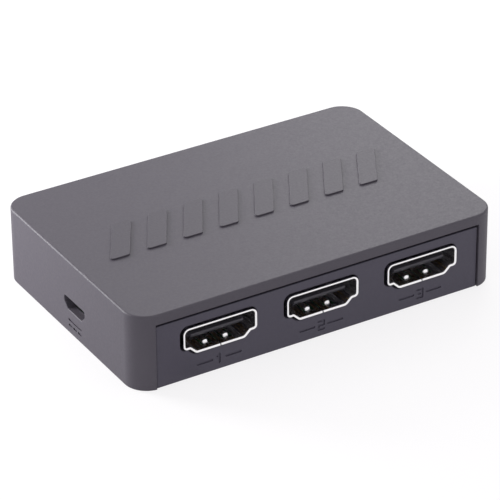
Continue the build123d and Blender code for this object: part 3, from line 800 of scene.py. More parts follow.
def node_size(node: str) -> tuple[Vector, Vector]:
    """A frame node's lowest and highest corner in millimetres."""
    low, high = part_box(node)
    return low / MM, high / MM


def node_middle(node: str) -> Vector:
    """The middle of a frame node's box in millimetres."""
    low, high = node_size(node)
    return (low + high) / 2


@dataclass
class Marks:
    """Plain numerals and dashes, drawn flat."""

    stroke: float = 0.42
    width: float = 1.1
    height: float = 2.1
    dash: float = 2.9
    gap: float = 0.9
    depth: float = 0.2
    middle: float = 2.25
    paths: ClassVar[dict[int, tuple[tuple[Point, ...], ...]]] = {
        1: (((-0.6, 0.55), (0.1, 1), (0.1, -1)),),
        2: (((-1, 1), (1, 1), (1, 0), (-1, 0), (-1, -1), (1, -1)),),
        3: (((-1, 1), (1, 1), (1, -1), (-1, -1)), ((-0.4, 0), (1, 0))),
    }

    def line(self, start: Point, end: Point) -> Outline:
        """One drawn line."""
        return Outline.stroke(start, end, self.stroke)

    def numeral(self, value: int) -> list[Outline]:
        """Draws a numeral.

        Args:
            value: 1, 2 or 3.

        Returns:
            Its strokes.
        """
        half, rise = self.width / 2, (self.height - self.stroke) / 2
        drawn = []
        for path in self.paths[value]:
            points = [(x * half, y * rise) for x, y in path]
            drawn += [self.line(a, b) for a, b in zip(points, points[1:])]
        return drawn

    def input_mark(self, value: int) -> list[Outline]:
        """A numeral between two short dashes."""
        near, far = self.width / 2 + self.gap, self.width / 2 + self.gap + self.dash
        return self.numeral(value) + [self.line((near, 0), (far, 0)), self.line((-far, 0), (-near, 0))]

    def output_mark(self) -> list[Outline]:
        """One plain dash."""
        reach = self.width / 2 + self.gap + self.dash
        return [self.line((-reach, 0), (reach, 0))]

    def engraving(self, strokes: Sequence[Outline], matrix: Matrix) -> list[Solid]:
        """Solids that cut strokes into a face, where the matrix puts them with Z outwards."""
        return [placed(prism(stroke, -self.depth, OVERRUN), matrix) for stroke in strokes]


@dataclass
class Case:
    """Sizes that the cover and the base share, in millimetres."""

    length: float
    depth: float
    board_bottom: float
    board_top: float
    port_middle: float
    height: float = 15.0
    corner: float = 4.5
    wall: float = 1.6
    roof: float = 2.0
    floor: float = 1.5
    seam: float = 0.15
    panel_wall: float = 1.6
    panel_recess: float = 0.4
    panel_half: float = 33.5
    panel_top_gap: float = 0.6
    edge: float = 0.15
    edge_stop: float = 95.0
    screw_end: float = 4.9
    screw_side: float = 6.5
    marks: Marks = field(default_factory=Marks)

    @classmethod
    def from_frame(cls) -> "Case":
        """Reads the outer size and the heights of the board and the sockets from the frame.

        Returns:
            The case's sizes.
        """
        low, high = node_size("top_cover")
        board_low, board_high = node_size("circuit_board")
        middle = node_middle("status_light_1").z
        return cls(high.x - low.x, high.y - low.y, board_low.z, board_high.z, middle)

    @property
    def panel_face(self) -> float:
        """Distance from the middle to a panel's outer face."""
        return self.depth / 2 - self.panel_recess

    @property
    def roof_under(self) -> float:
        """Height of the roof's underside."""
        return self.height - self.roof

    @property
    def panel_top(self) -> float:
        """Height of the panels' upper edges."""
        return self.roof_under - self.panel_top_gap

    @property
    def screw_places(self) -> list[Matrix]:
        """Moves to the four screws."""
        x, y = self.length / 2 - self.screw_end, self.depth / 2 - self.screw_side
        return [at(across * x, along * y, 0) for across in (-1, 1) for along in (-1, 1)]

    def on_panel(self, side: Side, x: float, z: float) -> Matrix:
        """Puts a flat drawing on a panel, seen from outside."""
        return at(x, side.value * self.panel_face, z) @ side.outwards

    def on_left_end(self, y: float, z: float) -> Matrix:
        """Puts a flat drawing on the left end wall, seen from outside."""
        return at(-self.length / 2, y, z) @ TO_LEFT

    def rim(self) -> list[Point]:
        """Growth and height of the rings that flare a cutter, to round the edge of a face at height zero."""
        rings = [(self.edge + x, y - self.edge) for x, y in arc(self.edge, 180, self.edge_stop, steps=4)]
        return rings + [(rings[-1][0] + self.edge, OVERRUN)]

    def cutter(self, outline: Outline, depth: float, grow: float = 0.0) -> Solid:
        """The solid that cuts an outline into a face, to a depth and with a soft edge."""
        return loft(outline, [(grow, -depth)] + [(grow + more, height) for more, height in self.rim()])

    def round_cutter(self, radius: float, depth: float, steps: int) -> Solid:
        """The solid that cuts a round hole into a face, to a depth and with a soft edge."""
        flare = [(radius + more, height) for more, height in self.rim()]
        return turned([(0.0, -depth), (radius, -depth)] + flare + [(0.0, OVERRUN)], steps)


@dataclass
class Cover:
    """The moulded cover: roof, end walls, screw bosses, and the raised bars on its roof."""

    case: Case
    top_edge: float = 0.4
    foot_edge: float = 0.15
    bar_margin: float = 6.3
    bar_height: float = 11.1
    bar_width: float = 4.0
    bar_count: int = 8
    bar_slant: float = 30.0
    bar_corner: float = 0.6
    bar_rise: float = 0.3
    bar_edge: float = 0.08
    bar_shift: float = 0.95
    boss: float = 2.3
    pilot: float = 1.02
    pilot_top: float = 10.3
    lip_wall: float = 0.8
    lip_drop: float = 1.2
    lip_gap: float = 1.5
    slot_place: float = -2.35
    slot_drop: float = 0.2
    slot_size: Point = (7.5, 2.4)
    slot_foot: float = 5.0
    slot_side: float = 1.2
    slot_rounds: Point = (0.25, 0.5)
    current_length: float = 4.4
    current_count: int = 3
    current_rise: float = 1.1
    current_share: float = 0.22

    def shell(self) -> Solid:
        """Hollows the shell and opens its long sides.

        Returns:
            The shell, without its ribs, bars and holes.
        """
        case, foot, top = self.case, self.foot_edge, self.top_edge
        section = [(y - foot, foot - x) for x, y in arc(foot, 0, 90, steps=3)]
        section += [(x - top, y + case.height - top) for x, y in arc(top, 0, 90, steps=5)]
        shell = loft(Outline.rectangle(case.length, case.depth, case.corner, steps=14), section)
        length, depth = case.length - 2 * case.wall, case.depth - 2 * case.wall
        room = Outline.rectangle(length, depth, case.corner - case.wall, steps=8)
        doorway = Outline.rectangle(2 * case.panel_half, 2 * case.roof_under, case.edge)
        cuts = [prism(room, -OVERRUN, case.roof_under)]
        for side in Side:
            opening = case.cutter(doorway, case.wall + OVERRUN)
            cuts.append(placed(opening, at(0, side.value * case.depth / 2, 0) @ side.outwards))
        return carved(shell, cuts, Carving.CUT)

    def bars(self) -> list[Solid]:
        """Draws the slanted bars, each with a soft upper edge.

        Returns:
            One solid for each bar.
        """
        lean = self.bar_height * math.tan(math.radians(self.bar_slant)) / 2
        half, rise = self.bar_width / 2, self.bar_height / 2
        corners = ((-half - lean, -rise), (half - lean, -rise), (half + lean, rise), (lean - half, rise))
        outline = Outline(corners, (self.bar_corner,) * 4)
        curve = arc(self.bar_edge, 0, 90, steps=3)
        section = [(0.0, -self.case.roof / 2)]
        section += [(x - self.bar_edge, y + self.bar_rise - self.bar_edge) for x, y in curve]
        free = self.case.length - 2 * self.bar_margin - self.bar_width - 2 * lean
        return [
            placed(loft(outline, section), at(x, self.bar_shift, self.case.height))
            for x in row(self.bar_count, free / (self.bar_count - 1))
        ]

    def slot(self) -> Solid:
        """Draws the power slot, a little under the middle of the socket behind it.

        Returns:
            The solid that cuts it.
        """
        low = -self.slot_size[1] / 2
        outline = Outline.cut_corners(
            self.slot_size, self.slot_foot, self.slot_side, low, self.slot_rounds
        )
        middle = node_middle("power_socket_insulator").z - self.slot_drop
        opening = self.case.cutter(outline, self.case.wall + OVERRUN)
        return placed(opening, self.case.on_left_end(self.slot_place, middle))

    def current_mark(self) -> list[Solid]:
        """Draws a long dash over three short ones.

        Returns:
            The solids that cut them.
        """
        marks, half = self.case.marks, self.current_length / 2
        dash, rise = self.current_length * self.current_share, self.current_rise / 2
        strokes = [marks.line((-half, rise), (half, rise))]
        for x in row(self.current_count, half - dash / 2):
            strokes.append(marks.line((x - dash / 2, -rise), (x + dash / 2, -rise)))
        return marks.engraving(strokes, self.case.on_left_end(self.slot_place, marks.middle))

    def inner_ribs(self) -> list[Solid]:
        """Draws the screw bosses and the ribs behind both panels.

        Returns:
            One solid for each.
        """
        case = self.case
        high = case.roof_under + case.roof / 2
        ribs = [placed(rod(self.boss, case.board_top, high), place) for place in case.screw_places]
        half = case.panel_half - self.lip_gap
        outer = case.panel_face - case.panel_wall - case.seam
        for side in Side:
            near, far = sorted((side.value * outer, side.value * (outer - self.lip_wall)))
            ribs.append(block((-half, near, case.roof_under - self.lip_drop), (half, far, high)))
        return ribs

    def pilots(self) -> list[Solid]:
        """Solids that cut the screws' holes in the bosses."""
        low = self.case.board_top - OVERRUN
        return [placed(rod(self.pilot, low, self.pilot_top), place) for place in self.case.screw_places]

    def build(self) -> None:
        """Makes the cover."""
        shell = carved(self.shell(), self.inner_ribs() + self.bars(), Carving.ADD)
        cuts = [self.slot()] + self.current_mark() + self.pilots()
        finish_piece("cover_shell", carved(shell, cuts, Carving.CUT), COVER_ABS, "top_cover")


@dataclass
class SheetSocket:
    """A socket in a folded sheet shell.

    It is drawn with its mouth at Y zero, facing minus Y, standing on Z zero.
    """

    name: str
    place: Matrix
    leg_low: float
    width: float
    height: float
    sheet: float
    length: float
    lip: float
    lip_depth: float
    nose_round: float
    nose_steps: int
    throat_round: float
    throat_steps: int
    tail_width: float
    tail_room: float
    tail_opening: float
    tab_width: float
    tab_places: Point

    @property
    def outline(self) -> Outline:
        """The inside of the shell, seen from the mouth."""
        raise NotImplementedError

    @property
    def leg_top(self) -> float:
        """Height at which the legs leave the side walls."""
        raise NotImplementedError

    def parts(self) -> dict[str, tuple[Solid, Finish]]:
        """The socket's parts and their finishes, by the ends of their nodes' names."""
        raise NotImplementedError

    def tube(self) -> Solid:
        """Winds the sheet round the outline, with a rounded mouth.

        Returns:
            The folded shell as one tube.
        """
        nose, throat, thick = self.nose_round, self.throat_round, self.sheet + self.lip
        section = [(0, self.sheet - self.length)]
        section += [(throat - x, y - throat) for x, y in arc(throat, 0, 90, self.throat_steps)]
        section += [(thick - nose + x, y - nose) for x, y in arc(nose, 90, 0, self.nose_steps)]
        if self.lip:
            section += [(thick, -self.lip_depth), (self.sheet, -self.lip_depth)]
        section.append((self.sheet, -self.length))
        return placed(loft(self.outline, section), TO_INPUT)

    def tail_gap(self) -> Solid:
        """The solid that cuts the gap through which the contacts leave."""
        half, front = self.tail_width / 2, self.length - self.tail_opening
        return block((-half, front, -OVERRUN), (half, self.length + OVERRUN, self.tail_room))

    def legs(self) -> list[Solid]:
        """Draws the legs that go down from the side walls through the board.

        Returns:
            One solid for each leg.
        """
        half, inner = self.tab_width / 2, self.width / 2
        found = []
        for side in (-1, 1):
            near, far = sorted((side * inner, side * (inner + self.sheet)))
            for y in self.tab_places:
                found.append(block((near, y - half, self.leg_low), (far, y + half, self.leg_top)))
        return found

    def build(self) -> None:
        """Makes each part as a piece."""
        for part, (bm, finish) in self.parts().items():
            node = f"{self.name}_{part}"
            finish_piece(f"{node}_dressed", placed(bm, self.place), finish, node)


@dataclass
class VideoSocket(SheetSocket):
    """One video socket: shell with a rolled lip and spring fingers, moulded tongue, contacts."""

    width: float = 14.0
    height: float = 4.55
    sheet: float = 0.3
    length: float = 11.4
    lip: float = 0.12
    lip_depth: float = 0.3
    nose_round: float = 0.1
    nose_steps: int = 4
    throat_round: float = 0.24
    throat_steps: int = 5
    tail_width: float = 10.4
    tail_room: float = 0.45
    tail_opening: float = 2.3
    tab_width: float = 1.2
    tab_places: Point = (3.4, 9.2)
    foot: float = 9.5
    foot_round: float = 0.6
    ledge: float = 11.9
    ledge_height: float = 1.15
    ledge_round: float = 0.5
    side_round: float = 0.35
    top_round: float = 0.8
    seam: float = 0.2
    finger_place: float = 2.07
    finger_width: float = 1.4
    finger_start: float = 1.6
    finger_length: float = 4.2
    slit: float = 0.25
    slit_spare: float = 0.05
    dimple: float = 0.64
    dimple_back: float = 0.7
    fit: float = 0.03
    tongue_sink: float = 1.2
    tongue_width: float = 10.7
    tongue_thickness: float = 1.0
    tongue_rise: float = 0.2
    tongue_round: float = 0.12
    tongue_edge: float = 0.2
    tongue_ease: float = 0.3
    tongue_face: float = 0.4
    tongue_slope: float = 40.0
    tongue_root: float = 6.4
    contact_count: int = 10
    contact_pitch: float = 1.0
    contact_width: float = 0.3
    contact_thickness: float = 0.12
    contact_round: float = 0.02
    contact_sink: float = 1.2
    contact_knee: float = 1.2
    contact_foot: float = 0.8
    groove_gap: float = 0.01

    @property
    def outline(self) -> Outline:
        """The inside of the shell, seen from the mouth.

        Returns:
            An outline with a ledge at both sides.
        """
        low, high = self.sheet, self.sheet + self.height
        ledge = low + self.ledge_height
        foot, inner, outer = self.foot / 2, self.ledge / 2, self.width / 2
        right = ((foot, low), (inner, ledge), (outer, ledge), (outer, high))
        rounds = (self.foot_round, -self.ledge_round, self.side_round, self.top_round)
        left = tuple((-x, y) for x, y in right[::-1])
        return Outline(left[-1:] + right + left[:-1], rounds[:1] + rounds + rounds[:0:-1], steps=5)

    @property
    def leg_top(self) -> float:
        """The socket's middle, where the legs leave the side walls."""
        return self.sheet + self.height / 2

    @property
    def tongue_middle(self) -> float:
        """Height of the tongue's middle above the board."""
        return self.sheet + self.height / 2 + self.tongue_rise

    def slits(self, x: float, low: float, high: float) -> list[Solid]:
        """Draws the three slits round a spring finger.

        Args:
            x: the finger's middle.
            low: where the slits start along Z.
            high: where they end along Z.

        Returns:
            The solids that cut them.
        """
        half, start = self.finger_width / 2, self.finger_start - self.slit
        back = self.finger_start + self.finger_length
        found = [block((x - half, start, low), (x + half, self.finger_start, high))]
        for side in (-1, 1):
            near, far = sorted((x + side * half, x + side * (half + self.slit)))
            found.append(block((near, start, low), (far, back, high)))
        return found

    def dimples(self) -> list[Solid]:
        """Draws the bumps that are pressed into the spring fingers.

        Returns:
            One solid for each bump.
        """
        low, high = self.sheet, self.sheet + self.height
        y = self.finger_start + self.dimple_back
        root = -self.sheet / 2
        profile = [(0.0, root), (self.dimple, root)] + arc(self.dimple, 0, 90, steps=6)
        found = []
        for x in (-self.finger_place, self.finger_place):
            bump = turned(profile, steps=20)
            found.append(copied(bump, at(x, y, low)))
            found.append(placed(bump, at(x, y, high) @ UPSIDE_DOWN))
        return found

    def shell(self) -> Solid:
        """Cuts the tube's slits, seam and tail gap, and adds its legs and bumps.

        Returns:
            The finished shell.
        """
        inside, top = self.sheet + self.slit_spare, self.sheet + self.height
        cuts = []
        for x in (-self.finger_place, self.finger_place):
            cuts += self.slits(x, -OVERRUN, inside)
            cuts += self.slits(x, top - self.slit_spare, top + self.sheet + OVERRUN)
        half, back = self.seam / 2, self.length - self.tail_opening
        cuts += [self.tail_gap(), block((-half, -OVERRUN, -OVERRUN), (half, back, inside))]
        body = carved(self.tube(), cuts, Carving.CUT)
        return carved(body, self.legs() + self.dimples(), Carving.ADD)

    def contact(self, high: float, grow: float) -> Solid:
        """One contact strip from the tongue to its foot on the board.

        Args:
            high: height of its run along the tongue.
            grow: extra thickness, for the groove that holds it.

        Returns:
            The strip, centred on X zero.
        """
        start = self.tongue_sink + self.contact_sink - grow
        knee, thick = self.length - self.contact_knee, self.contact_thickness
        end = self.length + self.contact_foot
        corners = (
            (start, high - grow), (knee - thick, high - grow), (knee - thick, 0), (end, 0),
            (end, thick), (knee, thick), (knee, high + thick + grow), (start, high + thick + grow),
        )
        strip = Outline(corners, (self.contact_round,) * len(corners), steps=1)
        half = self.contact_width / 2 + grow
        return placed(prism(strip, -half, half), TO_RIGHT)

    def contacts(self, grow: float = 0.0) -> list[Solid]:
        """Draws both rows of contacts.

        Args:
            grow: extra thickness, for the grooves that hold them.

        Returns:
            One solid for each contact.
        """
        low = self.tongue_middle - (self.tongue_thickness + self.contact_thickness) / 2
        found = []
        for count, high in (
            (self.contact_count, low + self.tongue_thickness), (self.contact_count - 1, low),
        ):
            strip = self.contact(high, grow)
            found += [copied(strip, at(x, 0, 0)) for x in row(count, self.contact_pitch)]
            strip.free()
        return found

    def lead_in(self) -> Solid:
        """Draws the slope under the tongue's front edge.

        Returns:
            The solid that cuts it.
        """
        half, high = self.width / 2, self.tongue_middle + self.tongue_thickness / 2
        wedge = block((-half, -self.tongue_sink - OVERRUN, -OVERRUN), (half, 0, 0))
        place = at(0, self.tongue_sink, high - self.tongue_face)
        return placed(wedge, place @ Matrix.Rotation(math.radians(self.tongue_slope), 4, "X"))

    def insulator(self) -> Solid:
        """Draws the moulded block and its tongue, with an eased front edge and contact grooves.

        Returns:
            Both as one solid.
        """
        back, root = self.sheet + self.fit - self.length, -self.tongue_root
        body = placed(prism(self.outline, back, root, -self.fit), TO_INPUT)
        nose = Outline.rectangle(self.tongue_width, self.tongue_thickness, self.tongue_round, steps=3)
        front, edge = -self.tongue_sink, self.tongue_edge
        eased = edge * self.tongue_ease
        section = [(0, root - self.fit), (0, front - edge), (-eased, front - eased), (-edge, front)]
        tongue = placed(loft(nose, section), at(0, 0, self.tongue_middle) @ TO_INPUT)
        body = carved(body, [tongue], Carving.ADD)
        return carved(body, self.contacts(self.groove_gap) + [self.lead_in()], Carving.CUT)

    def parts(self) -> dict[str, tuple[Solid, Finish]]:
        """Draws the shell, the insulator and the contacts.

        Returns:
            Each part by the end of its node's name.
        """
        return {
            "shell": (self.shell(), NICKEL_PLATE),
            "insulator": (self.insulator(), SOCKET_POLYMER),
            "contacts": (join(self.contacts()), GOLD_FLASH),
        }


@dataclass
class PowerSocket(SheetSocket):
    """The small power socket behind the slot, whose insulator and contacts stay the frame's own."""

    width: float = 6.9
    height: float = 1.85
    sheet: float = 0.25
    length: float = 5.0
    lip: float = 0.0
    lip_depth: float = 0.0
    nose_round: float = 0.1
    nose_steps: int = 3
    throat_round: float = 0.1
    throat_steps: int = 3
    tail_width: float = 3.4
    tail_room: float = 0.45
    tail_opening: float = 1.2
    tab_width: float = 0.9
    tab_places: Point = (2.0, 4.1)
    foot: float = 4.9
    side: float = 1.1
    rounds: Point = (0.2, 0.25)

    @property
    def outline(self) -> Outline:
        """The inside of the shell, seen from the mouth."""
        size = (self.width, self.height)
        return Outline.cut_corners(size, self.foot, self.side, self.sheet, self.rounds, steps=4)

    @property
    def leg_top(self) -> float:
        """The middle of the upright walls."""
        return self.sheet + self.height - self.side / 2

    def parts(self) -> dict[str, tuple[Solid, Finish]]:
        """The shell alone."""
        body = carved(self.tube(), [self.tail_gap()], Carving.CUT)
        return {"shell": (carved(body, self.legs(), Carving.ADD), NICKEL_PLATE)}


@dataclass
class Base:
    """The base: floor, the two set-back panels with their openings, and the board posts."""

    case: Case
    socket: VideoSocket
    input_places: Sequence[float]
    light_places: Sequence[float]
    button_place: float
    opening_gap: float = 0.31
    opening_shift: float = 0.15
    button_hole: float = 2.1
    light_hole: float = 1.6
    post: float = 2.85
    shank_hole: float = 1.15
    head_hole: float = 2.0
    plate_end: float = 16.5
    plate_side: float = 13.0
    plate_corner: float = 1.5
    plate_recess: float = 0.2

    @property
    def opening_places(self) -> list[float]:
        """Places of the input openings, a little to the left of their sockets."""
        return [x - self.opening_shift for x in self.input_places]

    def body(self) -> Solid:
        """Joins the floor, the panels and the posts.

        Returns:
            The base without its holes.
        """
        case, edge = self.case, self.case.edge
        fit = case.wall + case.seam
        length, depth = case.length - 2 * fit, case.depth - 2 * fit
        floor = prism(Outline.rectangle(length, depth, case.corner - fit, steps=8), 0, case.floor)
        half, inset = case.panel_half - case.seam, case.panel_wall / 2
        reach = case.panel_face - inset
        parts = [block((inset - half, -reach, 0), (half - inset, reach, case.floor))]
        panel = Outline.rectangle(2 * half, case.panel_top, edge, steps=3)
        section = [(0, -case.panel_wall)] + [(x - edge, y - edge) for x, y in arc(edge, 0, 90, steps=3)]
        parts += [placed(loft(panel, section), case.on_panel(side, 0, case.panel_top / 2)) for side in Side]
        for place in case.screw_places:
            parts.append(placed(rod(self.post, case.floor / 2, case.board_bottom), place))
        return carved(floor, parts, Carving.ADD)

    def openings(self) -> list[Solid]:
        """Draws the sockets' openings and the holes of the button and the lights.

        Returns:
            The solids that cut them.
        """
        case, socket = self.case, self.socket
        grow = socket.sheet + socket.lip + self.opening_gap
        depth = case.panel_wall + OVERRUN
        ports = [(Side.INPUT, x) for x in self.opening_places] + [(Side.OUTPUT, 0)]
        found = [
            placed(case.cutter(socket.outline, depth, grow), case.on_panel(side, x, case.board_top))
            for side, x in ports
        ]
        holes = [(self.button_place, self.button_hole)] + [(x, self.light_hole) for x in self.light_places]
        for x, radius in holes:
            place = case.on_panel(Side.OUTPUT, x, case.port_middle)
            found.append(placed(case.round_cutter(radius, depth, steps=40), place))
        return found

    def screw_wells(self) -> list[Solid]:
        """Draws the holes and counterbores of the screws.

        Returns:
            The solids that cut them.
        """
        case = self.case
        found = []
        for place in case.screw_places:
            found.append(placed(rod(self.shank_hole, -OVERRUN, case.board_bottom + OVERRUN), place))
            well = case.round_cutter(self.head_hole, case.floor, steps=36)
            found.append(placed(well, place @ UPSIDE_DOWN))
        return found

    def engraved(self) -> list[Solid]:
        """Draws the numerals and dashes on both panels.

        Returns:
            The solids that cut them.
        """
        marks = self.case.marks
        drawn = [(Side.INPUT, x, marks.input_mark(i)) for i, x in enumerate(self.opening_places, 1)]
        drawn.append((Side.OUTPUT, 0, marks.output_mark()))
        drawn += [(Side.OUTPUT, x, marks.numeral(i)) for i, x in enumerate(self.light_places, 1)]
        found = []
        for side, x, strokes in drawn:
            found += marks.engraving(strokes, self.case.on_panel(side, x, marks.middle))
        return found

    def build(self) -> None:
        """Makes the base."""
        length = self.case.length - 2 * self.plate_end
        depth = self.case.depth - 2 * self.plate_side
        plate = prism(Outline.rectangle(length, depth, self.plate_corner), -OVERRUN, self.plate_recess)
        cuts = self.openings() + [plate] + self.screw_wells() + self.engraved()
        finish_piece("base_with_panels", carved(self.body(), cuts, Carving.CUT), BASE_ABS, "base")


@dataclass
class SelectButton:
    """The round button with a dished face and a flange behind the panel."""

    place: float
    height: float
    radius: float = 2.0
    edge: float = 0.35
    dish: float = 0.15
    dish_radius: float = 1.4
    flange: float = 2.5
    flange_depth: float = 0.8
    bore: float = 1.03
    bore_depth: float = 0.88
    dish_shares: ClassVar[tuple[float, ...]] = (1.0, 0.9, 0.75, 0.55, 0.3, 0.0)

    def build(self) -> None:
        """Turns the button as one round solid."""
        low, high = node_size("select_button")
        depth, edge = high.y - low.y, self.edge
        profile = [(0.0, self.bore_depth), (self.bore, self.bore_depth), (self.bore, 0.0), (self.flange, 0.0)]
        profile += [(self.flange, self.flange_depth), (self.radius, self.flange_depth)]
        profile += [(x + self.radius - edge, y + depth - edge) for x, y in arc(edge, 0, 90, steps=5)]
        profile += [
            (self.dish_radius * share, depth - self.dish * (1 - share**2) ** 0.5)
            for share in self.dish_shares
        ]
        button = placed(turned(profile, steps=48), at(self.place, low.y, self.height) @ LAID_DOWN)
        finish_piece("select_button_cap", button, BUTTON_ABS, "select_button", Body.BUTTON)


@dataclass
class SwitchDome:
    """The thin domed spring behind the button, which flattens when it is pressed."""

    sheet: float = 0.08
    travel: float = 0.3
    ease: float = 0.01

    def build(self) -> None:
        """Turns the dome, and gives its piece a mesh of its own."""
        low, high = node_size("switch_dome")
        middle, radius = node_middle("switch_dome"), (high.x - low.x) / 2
        rise = high.y - low.y - self.sheet
        bend = (radius**2 + rise**2) / (2 * rise)
        edge = math.degrees(math.asin(radius / bend))
        lower = [(x, y - bend + rise) for x, y in arc(bend, 90, 90 - edge, steps=12)]
        upper = [(x, y + self.sheet) for x, y in lower[::-1]]
        foot = Vector((middle.x, low.y, middle.z))
        dome = placed(turned(lower + upper, steps=48), Matrix.Translation(foot) @ LAID_DOWN)
        piece = finish_piece("switch_dome_spring", dome, THIN_STEEL, "switch_dome")
        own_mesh(piece)


@dataclass
class StatusLight:
    """A round-nosed light with a flange at its back."""

    number: int
    place: float
    height: float
    radius: float = 1.5
    flange: float = 1.9
    flange_depth: float = 1.0
    flange_edge: float = 0.1

    def build(self) -> None:
        """Turns the light's epoxy body."""
        node = f"status_light_{self.number}"
        low, high = node_size(node)
        edge, wide, thick = self.flange_edge, self.flange, self.flange_depth
        profile = [(0.0, 0.0), (wide - edge, 0.0), (wide, edge), (wide, thick - edge)]
        profile += [(wide - edge, thick), (self.radius, thick)]
        nose = high.y - low.y - self.radius
        profile += [(x, y + nose) for x, y in arc(self.radius, 0, 90, steps=10)]
        body = placed(turned(profile, steps=40), at(self.place, low.y, self.height) @ LAID_DOWN)
        finish_piece(f"{node}_lens", body, LIGHT_EPOXY, node)


@dataclass
class CaseScrews:
    """Four self-tapping screws with round heads, cross recesses and a helical ridge."""

    case: Case
    core: float = 0.78
    ridge: float = 1.0
    ridge_share: float = 0.32
    root_sink: float = 0.05
    pitch: float = 0.6
    turn_steps: int = 20
    length: float = 8.0
    head: float = 1.8
    head_height: float = 1.2
    head_edge: float = 0.35
    cross: float = 1.0
    cross_width: float = 0.42
    cross_depth: float = 0.6

    def thread(self) -> Solid:
        """Winds one ridge round the core, tapering off at both ends.

        Returns:
            The ridge as a new bmesh.
        """
        low, half = self.case.floor + self.pitch, self.pitch * self.ridge_share
        steps = int(self.turn_steps * (self.length / self.pitch - 2))
        turns, root = steps / self.turn_steps, self.core - self.root_sink
        bm = bmesh.new()
        corners = ((root, 0, low - half), (self.ridge, 0, low), (root, 0, low + half))
        start = bm.faces.new([bm.verts.new(corner) for corner in corners])
        bmesh.ops.spin(
            bm, geom=[start], cent=(0, 0, 0), axis=(0, 0, 1), angle=2 * math.pi * turns, steps=steps,
            dvec=(0, 0, self.pitch / self.turn_steps), use_merge=False,
        )
        for vert in [v for v in bm.verts if v.co.xy.length > self.core]:
            done = (vert.co.z - low) / self.pitch
            crest = self.core + (self.ridge - self.core) * max(0.0, min(1.0, done, turns - done))
            vert.co.xy *= crest / self.ridge
        bmesh.ops.recalc_face_normals(bm, faces=bm.faces)
        return bm

    def screw(self) -> Solid:
        """Turns one screw and adds its ridge.

        Returns:
            The screw, standing on its head.
        """
        seat, edge = self.case.floor, self.head_edge
        under, tip = seat - self.head_height, seat + self.length
        profile = [(0.0, under)]
        profile += [(self.head - edge + x, under + edge - y) for x, y in arc(edge, 90, 0, steps=5)]
        profile += [(self.head, seat), (self.core, seat), (self.core, tip - self.core)]
        profile += [(self.core / 3, tip), (0.0, tip)]
        reach, half = self.cross, self.cross_width / 2
        arms = [
            block((-x, -y, under - OVERRUN), (x, y, under + self.cross_depth))
            for x, y in ((reach, half), (half, reach))
        ]
        return join([carved(turned(profile), arms, Carving.CUT), self.thread()])

    def build(self) -> None:
        """Makes all four screws as one group."""
        screw = self.screw()
        group = join(copied(screw, place) for place in self.case.screw_places)
        screw.free()
        finish_piece("case_screws_threaded", group, BLACK_NICKEL, "case_screws")


@dataclass
class InnerParts:
    """The frame's own pieces inside the case, which keep their shape and get their finish."""

    nodes: dict[str, bpy.types.Object]

    def dress(self, slots: dict[str, str]) -> None:
        """Gives every node the material of its slot.

        Args:
            slots: the material slot of each node.
        """
        by_slot = {finish.slot: finish for finish in FINISHES}
        for name, node in self.nodes.items():
            finish = by_slot[slots[name]]
            node.data.materials.clear()
            node.data.materials.append(finish.material())
        log.info("dressed %d nodes", len(self.nodes))


@dataclass(frozen=True)
class Lamp:
    """A soft square lamp: its place and side in millimetres, and its power in watts."""

    name: str
    place: tuple[float, float, float]
    size: float
    power: float

    def hang(self, target: Sequence[float]) -> None:
        """Puts the lamp in the scene.

        Args:
            target: what it is aimed at, in millimetres.
        """
        data = bpy.data.lights.new(self.name, "AREA")
        data.shape, data.size, data.energy = "SQUARE", self.size * MM, self.power
        lamp = bpy.data.objects.new(self.name, data)
        bpy.context.scene.collection.objects.link(lamp)
        turn = (Vector(target) - Vector(self.place)).to_track_quat("-Z", "Y").to_matrix().to_4x4()
        lamp.matrix_world = Matrix.Translation(Vector(self.place) * MM) @ turn


